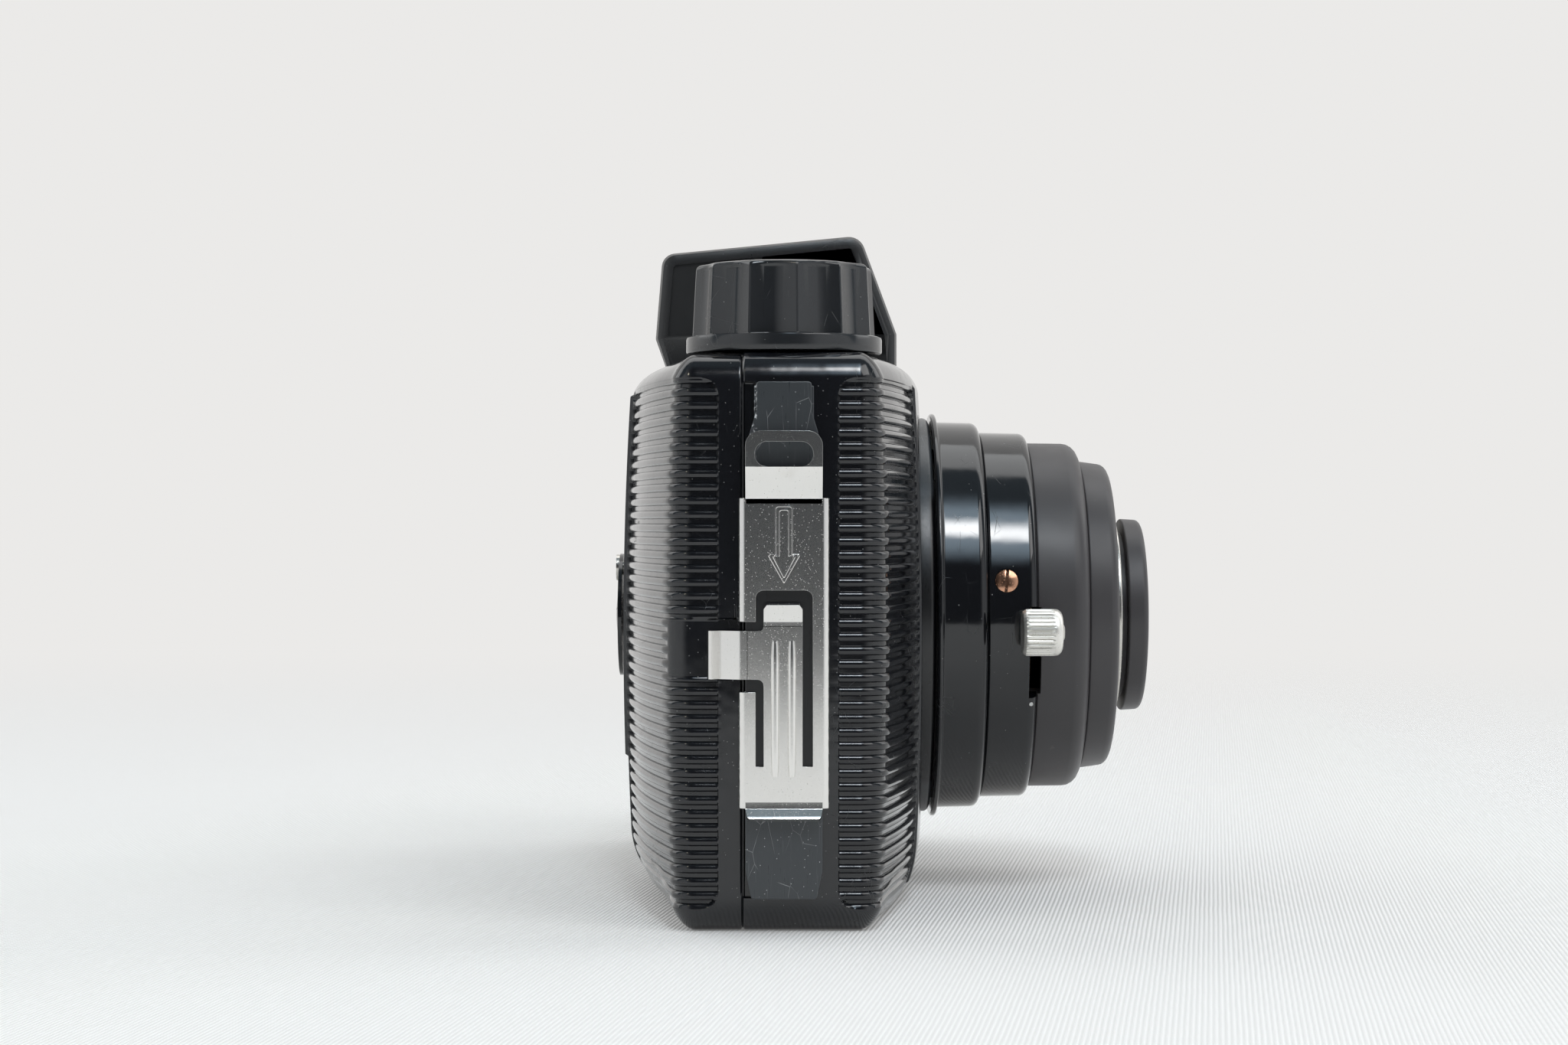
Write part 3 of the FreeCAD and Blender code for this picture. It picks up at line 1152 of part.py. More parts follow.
def blade_pivot():
    """The stud that the shutter blade swings on."""
    y = SHUTTER_PLATE_Y
    x, z = blade_pivot_place()
    stud = rod_y(PIVOT_R, y - BLADE_T - 0.6, y + SHUTTER_PLATE_T, x, z)
    return stud.fuse(rod_y(PIVOT_HEAD_R, y - BLADE_T - 0.9, y - BLADE_T - 0.3, x, z))


def shutter_blade():
    """A disc on an arm that covers the opening at rest."""
    y = SHUTTER_PLATE_Y - 0.15
    x, z = blade_pivot_place()
    disc = rod_y(BLADE_R, y - BLADE_T, y)
    hub = rod_y(2.4, y - BLADE_T, y, x, z)
    arm = box(-1.8, 1.8, y - BLADE_T, y, LENS_Z, LENS_Z + BLADE_ARM)
    arm = about_lens(arm, 90.0 - BLADE_PIVOT_ANGLE)
    blade = disc.fuse(hub).fuse(arm)
    return blade.cut(rod_y(PIVOT_R + 0.06, -FAR, 0, x, z))


def rear_lens_hub():
    """The rear lens cell, which is also the release lever's bearing."""
    y = SHUTTER_PLATE_Y + SHUTTER_PLATE_T
    hub = ring_y(HUB_R, HUB_BORE_R, y, HUB_BACK_Y)
    return hub.fuse(ring_y(HUB_R, HUB_BORE_R - 1.2, y, y + 0.9))


def rear_lens():
    seat = SHUTTER_PLATE_Y + SHUTTER_PLATE_T + 0.9
    return rod_y(HUB_BORE_R - FIT / 2, seat, seat + REAR_LENS_T)


def rear_lens_ring():
    seat = SHUTTER_PLATE_Y + SHUTTER_PLATE_T + 0.9 + REAR_LENS_T
    return ring_y(HUB_BORE_R - FIT / 2, HUB_BORE_R - 1.2, seat, seat + 1.0)


def lever_snap_ring():
    y = LEVER_Y + LEVER_T + 0.1
    return ring_y(SNAP_RING_R, HUB_R + 0.01, y, y + SNAP_RING_T)


def release_lever():
    """The plate that turns on the rear lens hub, with a boss for the stem."""
    y0 = LEVER_Y
    y1 = LEVER_Y + LEVER_T
    plate = ring_y(LEVER_R, HUB_R + 0.08, y0, y1)
    arm = box(-LEVER_BOSS_R_IN - 1, -HUB_R - 1.5, y0, y1, LENS_Z - 2.2, LENS_Z + 2.2)
    boss = box(-LEVER_BOSS_R_OUT, -LEVER_BOSS_R_IN, STEM_Y - LEVER_BOSS_HALF, STEM_Y + LEVER_BOSS_HALF,
               LENS_Z - 2.2, LENS_Z + 2.2)
    solid = plate.fuse(about_lens(arm.fuse(boss), -RELEASE_ANGLE))
    return solid.cut(radial_rod(STEM_R, LEVER_BOSS_R_IN + 0.5, HOUSING_R, RELEASE_ANGLE, STEM_Y))


def release_stem():
    """The brass stem from the lever through the slot to the knob."""
    return radial_rod(STEM_R, LEVER_BOSS_R_IN + 0.5, RELEASE_KNOB_OFFSET, RELEASE_ANGLE, STEM_Y)


def release_knob():
    """The knurled thumb knob with its dished front."""
    center = V(-RELEASE_KNOB_OFFSET, 0, LENS_Z)
    back = RELEASE_KNOB_BACK_Y
    front = RELEASE_KNOB_FRONT_Y
    knob = rod_y(RELEASE_KNOB_R, front, back, center.x, center.z)
    ends = [e for e in knob.Edges if e.BoundBox.YLength < 1e-4]
    knob = knob.makeFillet(0.5, ends)
    for i in range(RELEASE_KNURLS):
        angle = 2 * math.pi * i / RELEASE_KNURLS
        reach = RELEASE_KNOB_R + 0.3
        groove = rod_y(0.55, front + 0.7, back - 0.7, center.x + reach * math.cos(angle),
                       center.z + reach * math.sin(angle))
        knob = knob.cut(groove)
    knob = knob.cut(rod_y(1.5, front - 1, front + 1.2, center.x, center.z))
    stem = Part.makeCylinder(STEM_R, RELEASE_KNOB_OFFSET, V(0, STEM_Y, LENS_Z), V(-1, 0, 0))
    return about_lens(knob.cut(stem), -RELEASE_ANGLE)


def release_spring():
    """The small coil on its post behind the shutter plate."""
    start = SHUTTER_PLATE_Y + SHUTTER_PLATE_T + SPRING_WIRE_R + 0.05
    helix = Part.makeHelix(SPRING_PITCH, SPRING_PITCH * SPRING_TURNS, SPRING_COIL_R)
    section = Part.Wire(Part.makeCircle(SPRING_WIRE_R, V(SPRING_COIL_R, 0, 0), Y_AXIS))
    coil = Part.Wire(helix.Edges).makePipeShell([section], True, True)
    coil.rotate(V(0, 0, 0), X_AXIS, -90)
    coil.translate(V(SPRING_POST_X, start, LENS_Z + SPRING_POST_Z))
    return coil


def aperture_rest(points_shape):
    """A shape drawn at mid swing, turned to the wide-aperture stop."""
    copy = points_shape.copy()
    copy.rotate(V(APERTURE_PIVOT_X, 0, LENS_Z), Y_AXIS, -APERTURE_SWING / 2)
    return copy


def aperture_lever():
    """One plate with a wide and a small hole and a finger that reaches out of the bezel."""
    y0 = APERTURE_PLATE_Y
    y1 = y0 + APERTURE_PLATE_T
    x = APERTURE_PIVOT_X
    plate = rod_y(APERTURE_PLATE_R, y0, y1)
    hub = rod_y(3.0, y0, y1, x, LENS_Z)
    strip = box(x, x + APERTURE_FINGER_REACH, y0, y1, LENS_Z - 1.6, LENS_Z + 1.6)
    end = rod_y(1.6, y0, y1, x + APERTURE_FINGER_REACH, LENS_Z)
    solid = plate.fuse(hub).fuse(strip).fuse(end)
    for radius, side in ((APERTURE_WIDE_R, 1), (APERTURE_SMALL_R, -1)):
        hole = rod_y(radius, y0 - 1, y1 + 1)
        hole.rotate(V(x, 0, LENS_Z), Y_AXIS, side * APERTURE_SWING / 2)
        solid = solid.cut(hole)
    finger = rod_y(APERTURE_FINGER_R, APERTURE_FINGER_TIP_Y, y1, x + APERTURE_FINGER_REACH, LENS_Z)
    solid = solid.fuse(finger)
    return aperture_rest(solid.cut(rod_y(PIVOT_R + 0.06, -FAR, 0, x, LENS_Z)))


def aperture_pivot():
    """The stud that the aperture lever swings on."""
    x = APERTURE_PIVOT_X
    stud = rod_y(PIVOT_R, BEZEL_FRONT_Y + 0.4, APERTURE_PLATE_Y + APERTURE_PLATE_T + 0.3, x)
    head_y = APERTURE_PLATE_Y + APERTURE_PLATE_T + 0.1
    return stud.fuse(rod_y(PIVOT_HEAD_R, head_y, head_y + 0.5, x))


NODES = {
    "front_body": front_body,
    "rear_cover": rear_cover,
    "film_gate": film_gate,
    "gate_screws": gate_screws,
    "tripod_bush": tripod_bush,
    "spool_pins": spool_pins,
    "take_up_spool": take_up_spool,
    "winding_knob": winding_knob,
    "winding_shaft": winding_shaft,
    "ratchet_wheel": ratchet_wheel,
    "pawl_spring": pawl_spring,
    "pawl_screw": pawl_screw,
    "viewfinder_housing": viewfinder_housing,
    "finder_front_lens": finder_front_lens,
    "finder_rear_lens": finder_rear_lens,
    "finder_rear_ring": finder_rear_ring,
    "finder_screws": finder_screws,
    "red_window": red_window,
    "window_ring": window_ring,
    "window_rivet": window_rivet,
    "window_cover": window_cover,
    "right_clasp": clasp,
    "left_clasp": lambda: clasp().mirror(V(0, 0, 0), X_AXIS),
    "helical_sleeve": helical_sleeve,
    "sleeve_screws": sleeve_screws,
    "barrel_collar": barrel_collar,
    "sliding_tube": sliding_tube,
    "drive_pins": drive_pins,
    "barrel_screws": barrel_screws,
    "index_dot": index_dot,
    "shutter_housing": shutter_housing,
    "shutter_plate": shutter_plate,
    "blade_pivot": blade_pivot,
    "shutter_blade": shutter_blade,
    "rear_lens_hub": rear_lens_hub,
    "rear_lens": rear_lens,
    "rear_lens_ring": rear_lens_ring,
    "lever_snap_ring": lever_snap_ring,
    "release_lever": release_lever,
    "release_stem": release_stem,
    "release_knob": release_knob,
    "release_spring": release_spring,
    "front_bezel": front_bezel,
    "bright_rim": bright_rim,
    "lens_ring": lens_ring,
    "front_lens": front_lens,
    "lens_retainer": lens_retainer,
    "aperture_lever": aperture_lever,
    "aperture_pivot": aperture_pivot,
}

os.makedirs("parts", exist_ok=True)
for name, make in NODES.items():
    shape = make()
    shape.exportStep("parts/" + name + ".step")
    print(name, len(shape.Solids), "solids", round(shape.Volume, 1), "mm3", shape.isValid())
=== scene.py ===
# %% [markdown]
# A roll film camera in black moulding, seen from its winding-knob end
#
# The camera's moving parts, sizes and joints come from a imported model, the frame. This lesson gives that
# model its looks: glossy ribbed mouldings, matt barrel rings, a nickel-plated clasp and a knurled release.
# Every new surface is a formula on a grid of two parameters, worked out with numpy and put into a mesh as
# whole arrays.

# %% Load the frame
import math

import bmesh
import bpy
import numpy as np
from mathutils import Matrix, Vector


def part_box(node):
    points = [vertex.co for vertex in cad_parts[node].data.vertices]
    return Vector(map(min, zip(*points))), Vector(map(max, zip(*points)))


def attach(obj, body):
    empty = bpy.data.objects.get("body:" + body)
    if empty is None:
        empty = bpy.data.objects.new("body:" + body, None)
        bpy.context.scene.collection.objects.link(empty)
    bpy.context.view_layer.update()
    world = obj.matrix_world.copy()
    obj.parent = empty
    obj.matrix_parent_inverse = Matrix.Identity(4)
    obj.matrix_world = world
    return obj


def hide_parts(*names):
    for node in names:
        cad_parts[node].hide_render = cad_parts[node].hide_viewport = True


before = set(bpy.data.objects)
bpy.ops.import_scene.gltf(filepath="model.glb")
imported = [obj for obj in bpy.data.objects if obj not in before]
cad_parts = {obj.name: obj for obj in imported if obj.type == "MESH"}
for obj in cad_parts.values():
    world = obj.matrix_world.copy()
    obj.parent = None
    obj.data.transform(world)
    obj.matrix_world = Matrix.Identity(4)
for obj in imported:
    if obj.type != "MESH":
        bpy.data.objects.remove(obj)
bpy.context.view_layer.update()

# %% [markdown]
# Sizes. Lengths in this file are millimetres in the frame's own axes: +Z is up, the lens looks along -Y,
# and the winding knob is on the -X side. Where a CAD node already holds a size, the value is read from its
# box instead of being typed again, so that the looks stay on the frame.

# %% Sizes read from the frame
MM = 0.001


def node_box(name):
    """The lowest and highest corner of a CAD node, in millimetres."""
    low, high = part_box(name)
    return np.array(low) / MM, np.array(high) / MM


front_high = node_box("front_body")[1]
cover_high = node_box("rear_cover")[1]
knob_low, knob_high = node_box("winding_knob")
collar_low, collar_high = node_box("barrel_collar")
LENS_Z = (collar_low[2] + collar_high[2]) / 2
BODY_TOP = front_high[2]
COVER_TOP = cover_high[2]
HALF_LENGTH = cover_high[0]
PLATE_RAISED = 0.45
BACK_Y = cover_high[1] - PLATE_RAISED
FRONT_Y = -22.6
PARTING_Y = front_high[1]
KNOB_X = (knob_low[0] + knob_high[0]) / 2
print("lens axis height %.1f, body height %.1f, half length %.1f" % (LENS_Z, BODY_TOP, HALF_LENGTH))

# %% [markdown]
# From arrays to meshes. A grid of points (rows x columns x 3) becomes quads with one call. Rows and columns
# can close on themselves, and open ends can get a flat cap, so that every piece is a closed solid. After
# its doubles are merged the normals are worked out again, because a profile that is drawn the other way
# round turns a surface inside out.

# %% Mesh helpers
MERGE = 2e-4
SMOOTH_ANGLE = 32.0


def stacked(x, y, z):
    """Three coordinate arrays, stretched to one shape, as an array of points."""
    return np.stack(np.broadcast_arrays(x, y, z), -1)


def turns(count):
    """The angles of equal steps round a full turn."""
    return np.linspace(0, 2 * math.pi, count, endpoint=False)


def grid_faces(rows, columns, close_rows=False, close_columns=False):
    """Quads that join neighbours of a rows x columns grid, as an array of four indices each."""
    i = np.arange(rows if close_rows else rows - 1)
    j = np.arange(columns if close_columns else columns - 1)
    i, j = np.meshgrid(i, j, indexing="ij")
    after_i = (i + 1) % rows
    after_j = (j + 1) % columns
    corners = ((i, j), (after_i, j), (after_i, after_j), (i, after_j))
    return np.stack([a * columns + b for a, b in corners], -1).reshape(-1, 4)


def add_object(name, data):
    """A new object of the scene around a mesh, a lamp or a camera."""
    thing = bpy.data.objects.new(name, data)
    bpy.context.scene.collection.objects.link(thing)
    return thing


def make_mesh(name, parts, smooth_angle=SMOOTH_ANGLE):
    """An object from (points, faces) pairs in millimetres.

    Doubles are merged, faces look outwards, and the shading is smooth but for the creases.
    """
    points = []
    faces = []
    count = 0
    for part_points, part_faces in parts:
        part_points = np.asarray(part_points, float).reshape(-1, 3)
        faces += [tuple(int(k) + count for k in face) for face in part_faces]
        points.append(part_points)
        count += len(part_points)
    mesh = bpy.data.meshes.new(name)
    mesh.from_pydata((np.concatenate(points) * MM).tolist(), [], faces)
    tidy = bmesh.new()
    tidy.from_mesh(mesh)
    bmesh.ops.remove_doubles(tidy, verts=tidy.verts, dist=MERGE * MM)
    bmesh.ops.dissolve_degenerate(tidy, edges=tidy.edges, dist=MERGE * MM)
    bmesh.ops.recalc_face_normals(tidy, faces=tidy.faces)
    tidy.to_mesh(mesh)
    tidy.free()
    mesh.polygons.foreach_set("use_smooth", [True] * len(mesh.polygons))
    mesh.set_sharp_from_angle(angle=math.radians(smooth_angle))
    return add_object(name, mesh)


def sheet_of(grid, close_rows=False, close_columns=False, cap_start=False, cap_end=False):
    """A grid as a (points, faces) pair; a cap closes the first or last row with one flat face."""
    rows, columns = grid.shape[:2]
    faces = [tuple(face) for face in grid_faces(rows, columns, close_rows, close_columns)]
    if cap_start:
        faces.append(tuple(range(columns)))
    if cap_end:
        faces.append(tuple(range((rows - 1) * columns, rows * columns)))
    return grid, faces


def hoop(outlines):
    """A loop of closed outlines, such as a turned ring."""
    return sheet_of(np.stack(outlines), close_rows=True, close_columns=True)


def block(outlines):
    """A row of closed outlines as a solid whose two ends are capped."""
    return sheet_of(np.stack(outlines), close_columns=True, cap_start=True, cap_end=True)


def rounded(corners, radius, steps=5):
    """A closed outline with each corner replaced by an arc that touches both of its sides."""
    corners = np.asarray(corners, float)
    radii = np.broadcast_to(radius, len(corners))
    out = []
    for k, corner in enumerate(corners):
        before = corners[k - 1] - corner
        after = corners[(k + 1) % len(corners)] - corner
        reach_before = np.linalg.norm(before)
        reach_after = np.linalg.norm(after)
        before = before / reach_before
        after = after / reach_after
        half = math.acos(np.clip(before @ after, -1, 1)) / 2
        back = min(radii[k] / math.tan(half), 0.49 * reach_before, 0.49 * reach_after)
        if back < 1e-4 or half > math.pi / 2 - 0.02:
            out.append(corner[None])
            continue
        r = back * math.tan(half)
        center = corner + (before + after) / np.linalg.norm(before + after) * r / math.sin(half)
        start = corner + before * back - center
        stop = corner + after * back - center
        sweep = math.pi - 2 * half
        t = np.linspace(0, 1, steps + 1)[:, None]
        out.append(center + (np.sin((1 - t) * sweep) * start + np.sin(t * sweep) * stop) / math.sin(sweep))
    return np.concatenate(out)


def turned(profile, segments=160):
    """A closed (radius, y) outline turned about the lens axis: x = -r cos a, z = cz + r sin a."""
    r, y = np.asarray(profile, float).T
    a = turns(segments)[:, None]
    return hoop(stacked(-r * np.cos(a), y, LENS_Z + r * np.sin(a)))


def upright(profile, x=0.0, segments=48):
    """A closed (radius, z) outline turned about an upright line at x."""
    r, z = np.asarray(profile, float).T
    a = turns(segments)[:, None]
    return hoop(stacked(x + r * np.cos(a), r * np.sin(a), z))


def prism(outline, axis, start, stop):
    """A flat closed outline carried along an axis, with both ends capped."""
    outline = np.asarray(outline, float)
    return block([np.insert(outline, axis, level, axis=1) for level in (start, stop)])


def dress(piece, body, finish, slot, *nodes):
    """Gives a piece its material and its body, and hides the CAD nodes that it stands for; the slot
    argument is not used.
    """
    piece.data.materials.clear()
    piece.data.materials.append(finish)
    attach(piece, body)
    if nodes:
        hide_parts(*nodes)
    print("%-22s %7d faces on %s" % (piece.name, len(piece.data.polygons), body))


def settled(piece):
    """The mesh of a piece as its modifiers leave it."""
    ready = bpy.context.evaluated_depsgraph_get()
    return bpy.data.meshes.new_from_object(piece.evaluated_get(ready))


def carve(piece, *cutters, touching=False):
    """Cuts closed shapes out of a piece and removes the cutters; touching also settles faces that meet."""
    for cutter in cutters:
        step = piece.modifiers.new("carve", "BOOLEAN")
        step.operation = "DIFFERENCE"
        step.solver = "EXACT"
        step.use_self = touching
        step.object = cutter
        carved = settled(piece)
        piece.modifiers.clear()
        old = piece.data
        piece.data = carved
        bpy.data.meshes.remove(old)
        bpy.data.objects.remove(cutter)
    piece.data.set_sharp_from_angle(angle=math.radians(SMOOTH_ANGLE))


def soften(piece, width, segments=2, angle=35.0):
    """Rounds the sharp edges of a piece by a small width, in millimetres."""
    step = piece.modifiers.new("soften", "BEVEL")
    step.width = width * MM
    step.segments = segments
    step.limit_method = "ANGLE"
    step.angle_limit = math.radians(angle)
    return piece


# %% [markdown]
# Shader arithmetic. A wrapped socket takes part in Python expressions: each operator adds one Math node,
# with the reflected forms so that 1 - mask works. Colours go through Mix nodes, because a Math node would
# turn them grey.

# %% The socket class and the finish class


def math_node(operation):
    """A method that puts one Math node behind a Python operator."""
    return lambda field, other: field.finish.node("ShaderNodeMath", {"operation": operation},
                                                  {0: field, 1: other})


class Field:
    """A number that varies over a surface, held as a shader socket."""

    __add__ = __radd__ = math_node("ADD")
    __mul__ = __rmul__ = math_node("MULTIPLY")
    __sub__ = math_node("SUBTRACT")
    __truediv__ = math_node("DIVIDE")
    __pow__ = math_node("POWER")
    __gt__ = math_node("GREATER_THAN")
    __lt__ = math_node("LESS_THAN")

    def __init__(self, finish, socket):
        self.finish = finish
        self.socket = socket

    def __rsub__(self, other):
        return (self * -1.0) + other

    def between(self, low, high):
        """0 below low, 1 above high, smooth in the middle."""
        settings = {"interpolation_type": "SMOOTHSTEP", "clamp": True}
        return self.finish.node("ShaderNodeMapRange", settings, {0: self, 1: low, 2: high})

    def band(self, a, b, c, d):
        """0 below a, 1 from b to c, 0 above d."""
        return self.between(a, b) * (1.0 - self.between(c, d))


class Finish:
    """A material with one Principled shader: fixed values are set on its sockets, varying ones linked."""

    def __init__(self, name, color, roughness, metallic=0.0, **fixed):
        self.material = bpy.data.materials.new(name)
        self.material.use_nodes = True
        self.tree = self.material.node_tree
        self.shader = self.tree.nodes["Principled BSDF"]
        self.material.diffuse_color = (*color, 1.0)
        self.set(Base_Color=color, Roughness=roughness, Metallic=metallic, **fixed)

    def node(self, kind, settings=None, values=None, out=0):
        """One node of any type: its settings first, then the values or links of its sockets."""
        node = self.tree.nodes.new(kind)
        for key, value in (settings or {}).items():
            setattr(node, key, value)
        for key, value in (values or {}).items():
            self.plug(node.inputs[key], value)
        return Field(self, node.outputs[out])

    def plug(self, socket, value):
        if isinstance(value, Field):
            self.tree.links.new(value.socket, socket)
        elif isinstance(value, tuple) and len(value) == 3 and socket.type == "RGBA":
            socket.default_value = (*value, 1.0)
        else:
            socket.default_value = value

    def set(self, **values):
        """Plugs values into the shader's sockets and gives the material."""
        for name, value in values.items():
            self.plug(self.shader.inputs[name.replace("_", " ")], value)
        return self.material

    def place(self, stretch=(1.0, 1.0, 1.0), turn=(0.0, 0.0, 0.0)):
        """Object coordinates in millimetres, stretched and turned."""
        where = self.node("ShaderNodeTexCoord", out=3)
        scale = tuple(s / MM for s in stretch)
        return self.node("ShaderNodeMapping", None, {0: where, 2: turn, 3: scale})

    def noise(self, scale, detail=2.0, rough=0.5, where=None):
        values = {"Vector": where or self.place(), "Scale": scale, "Detail": detail, "Roughness": rough}
        return self.node("ShaderNodeTexNoise", None, values)

    def cells(self, scale, feature="F1", where=None, out=0):
        values = {"Vector": where or self.place(), "Scale": scale}
        return self.node("ShaderNodeTexVoronoi", {"feature": feature}, values, out)

    def axes(self, vector):
        """The X, Y and Z parts of a vector, as three fields."""
        node = self.tree.nodes.new("ShaderNodeSeparateXYZ")
        self.plug(node.inputs[0], vector)
        return [Field(self, socket) for socket in node.outputs]

    def mix(self, factor, first, second):
        """A colour between first and second."""
        settings = {"data_type": "RGBA"}
        return self.node("ShaderNodeMix", settings, {0: factor, 6: first, 7: second}, out=2)

    def bump(self, height, strength, distance, under=None):
        values = {"Height": height, "Strength": strength, "Distance": distance * MM}
        if under is not None:
            values["Normal"] = under
        return self.node("ShaderNodeBump", None, values)


print("finish tools ready")

# %% [markdown]
# The black moulding. Old phenolic moulding is a deep blue-black with a hard polish. What makes it read as
# real is what lies on the polish: pale dust specks, a few lint hairs, fine scratches that catch the light,
# and a faint cloudiness where hands have dulled it. Specks are the small cells of a Voronoi pattern whose
# random value is high.

# %% Moulding


def dust(finish, scale, share, size):
    """Sparse round specks: Voronoi cells whose random value passes a share, cut at a radius."""
    where = finish.place()
    near = finish.cells(scale, where=where)
    chance = finish.node("ShaderNodeSeparateColor", None, {0: finish.cells(scale, where=where, out=1)})
    return (near < size) * (chance > (1 - share))


def scratches(finish, scale, stretch, turn, width):
    """Thin long lines: cell borders of a stretched pattern, kept only where a slow noise is high."""
    where = finish.place(stretch, turn)
    edge = finish.cells(scale, "DISTANCE_TO_EDGE", where)
    patch = finish.noise(0.13, 2.0, 0.6).between(0.52, 0.66)
    return (edge < width) * patch


def moulding(name, color=(0.0062, 0.0068, 0.0088), gloss=0.10, wear=1.0, painted_glints=()):
    """Black moulding; the last argument holds (y, half width) of ring edges given a band of metallic sheen:
    a painted highlight where the rounded edges glint.
    """
    finish = Finish(name, color, gloss, IOR=1.6)
    specks = dust(finish, 1.35, 0.16, 0.075) + dust(finish, 0.55, 0.07, 0.05)
    hairs = scratches(finish, 0.16, (1.0, 1.0, 0.22), (0.4, 0.2, 0.9), 0.004)
    hairs = hairs + scratches(finish, 0.2, (0.25, 1.0, 1.0), (0.9, 0.5, 0.2), 0.004)
    cloud = finish.noise(0.11, 4.0, 0.6).between(0.35, 0.75)
    uneven = finish.bump(finish.noise(0.16, 2.0, 0.5), 0.16, 0.25)
    # Bands of metallic sheen at the given ring edges: a painted highlight of their glint.
    if painted_glints:
        along = finish.axes(finish.place())[1]
        glint_bands = [along.band(y - 1.6 * w, y - 0.8 * w, y + 0.8 * w, y + 1.6 * w) for y, w in painted_glints]
        finish.set(Metallic=sum(glint_bands) * 0.16)
    return finish.set(
        Base_Color=finish.mix(specks * (0.55 * wear) + hairs * (0.05 * wear), color, (0.50, 0.50, 0.48)),
        Roughness=cloud * 0.07 + gloss + specks * 0.5 + hairs * 0.25,
        Normal=finish.bump(hairs * -1.0, 0.25 * wear, 0.01, uneven))


bakelite = moulding("bakelite")
# The bakelite_rings bands are painted highlights at the front edges of the collar and the tube.
bakelite_rings = moulding("bakelite_rings", gloss=0.07, painted_glints=((-30.75, 0.28), (-38.5, 0.28)))
bakelite_knob = moulding("bakelite_knob", color=(0.018, 0.0195, 0.022), gloss=0.12)
bakelite_ribs = moulding("bakelite_ribs", gloss=0.08)
bakelite_hump = moulding("bakelite_hump", color=(0.024, 0.0245, 0.0255), gloss=0.27, wear=0.8)


def worn_rail():
    """The rail's top: dulled and greyed by the clasp and scratched upright, chipped pale at one edge, and
    painted near black as painted shade where the clasp covers it.
    """
    color = (0.038, 0.043, 0.048)
    finish = Finish("bakelite_rail", color, 0.30, IOR=1.6)
    strokes = finish.noise(1.5, 4.0, 0.7, finish.place((2.6, 2.6, 0.10), (0.05, 0.0, 0.0)))
    curls = scratches(finish, 0.42, (1.0, 1.0, 0.45), (0.5, 0.1, 0.3), 0.006)
    _, side, height = finish.axes(finish.place())
    upper = height.between(66.0, 72.0)
    # Painted shade: between the clasp's foot and its top the rail is near black, and the marks are kept off
    # it.
    clear_of_painted_shade = height.between(61.0, 62.5) + (1.0 - height.between(16.5, 18.0))
    worn = side.between(3.70, 3.86) * finish.noise(1.6, 4.0, 0.7).between(0.54, 0.60) * upper
    marks = strokes.between(0.60, 0.74) * 0.10 + curls * 0.4 + dust(finish, 1.35, 0.20, 0.08) * 0.8 + worn
    # (0.004, 0.004, 0.005) is the painted shade colour under the clasp.
    tone = finish.mix(clear_of_painted_shade, (0.004, 0.004, 0.005), color)
    return finish.set(Base_Color=finish.mix(marks * clear_of_painted_shade, tone, (0.60, 0.61, 0.62)),
                      Roughness=strokes * 0.22 + 0.20,
                      Normal=finish.bump(strokes, 0.35, 0.03, finish.bump(curls * -1.0, 0.5, 0.02)))


bakelite_rail = worn_rail()
print("moulding finishes:", bakelite.name, bakelite_ribs.name, bakelite_rail.name)

# %% [markdown]
# The matt rings are the same moulding left unpolished: a warm dark grey with a broad soft sheen and a fine
# even tooth. Handling leaves slightly shinier clouds and a few pale rubs.

# %% Matt rings


def matt_ring(name, color=(0.052, 0.0485, 0.051)):
    finish = Finish(name, color, 0.42, IOR=1.5)
    cloud = finish.noise(0.12, 4.0, 0.6).between(0.3, 0.8)
    rubs = finish.noise(0.35, 5.0, 0.7).between(0.66, 0.80)
    specks = dust(finish, 1.6, 0.10, 0.07)
    return finish.set(Base_Color=finish.mix(rubs * 0.25 + specks * 0.5, color, (0.20, 0.19, 0.185)),
                      Roughness=0.37 + cloud * 0.10 - rubs * 0.10,
                      Normal=finish.bump(finish.noise(5.5, 3.0, 0.6), 0.12, 0.03))


matt_black = matt_ring("matt_black")
print("matt finish:", matt_black.name)

# %% [markdown]
# Metals. The clasp is nickel plate over stamped steel: bright, but with a grainy speckle of tiny pits that
# scatter the light as sparks. The speckle is a fine noise in the roughness and the bump, with dark pits in
# the colour.

# %% Metals


def plated(name, color, roughness, grain=7.0, grain_depth=0.35, tarnish=(0.30, 0.25, 0.18), speckle=0.10):
    """Plate over stamped metal: a mirror with fine tilted grains, a few matt pits and a faint stain."""
    finish = Finish(name, color, roughness, 1.0)
    grains = finish.noise(grain, 2.0, 0.6)
    pits = dust(finish, grain * 0.9, speckle, 0.45)
    stain = finish.noise(0.22, 4.0, 0.65).between(0.55, 0.8)
    return finish.set(Base_Color=finish.mix(pits * 0.12 + stain * 0.10, color, tarnish),
                      Roughness=pits * 0.42 + grains * 0.10 + (roughness - 0.05),
                      Normal=finish.bump(grains + pits * 0.6, grain_depth, 0.012))


nickel = plated("nickel", (0.80, 0.785, 0.76), 0.14, 9.0, 0.09, speckle=0.03)
nickel_fine = plated("nickel_fine", (0.62, 0.60, 0.56), 0.24, 9.0, 0.15)
brass = plated("brass", (0.62, 0.40, 0.17), 0.28, 6.0, 0.25, (0.16, 0.09, 0.04))
nickel_knob = plated("nickel_knob", (0.88, 0.86, 0.81), 0.40)
copper = plated("copper_tone", (0.62, 0.34, 0.22), 0.20, 6.0, 0.3, (0.18, 0.07, 0.04))
steel = plated("steel", (0.52, 0.52, 0.53), 0.26, 6.0, 0.2)
print("metal finishes:", nickel.name, brass.name, steel.name)


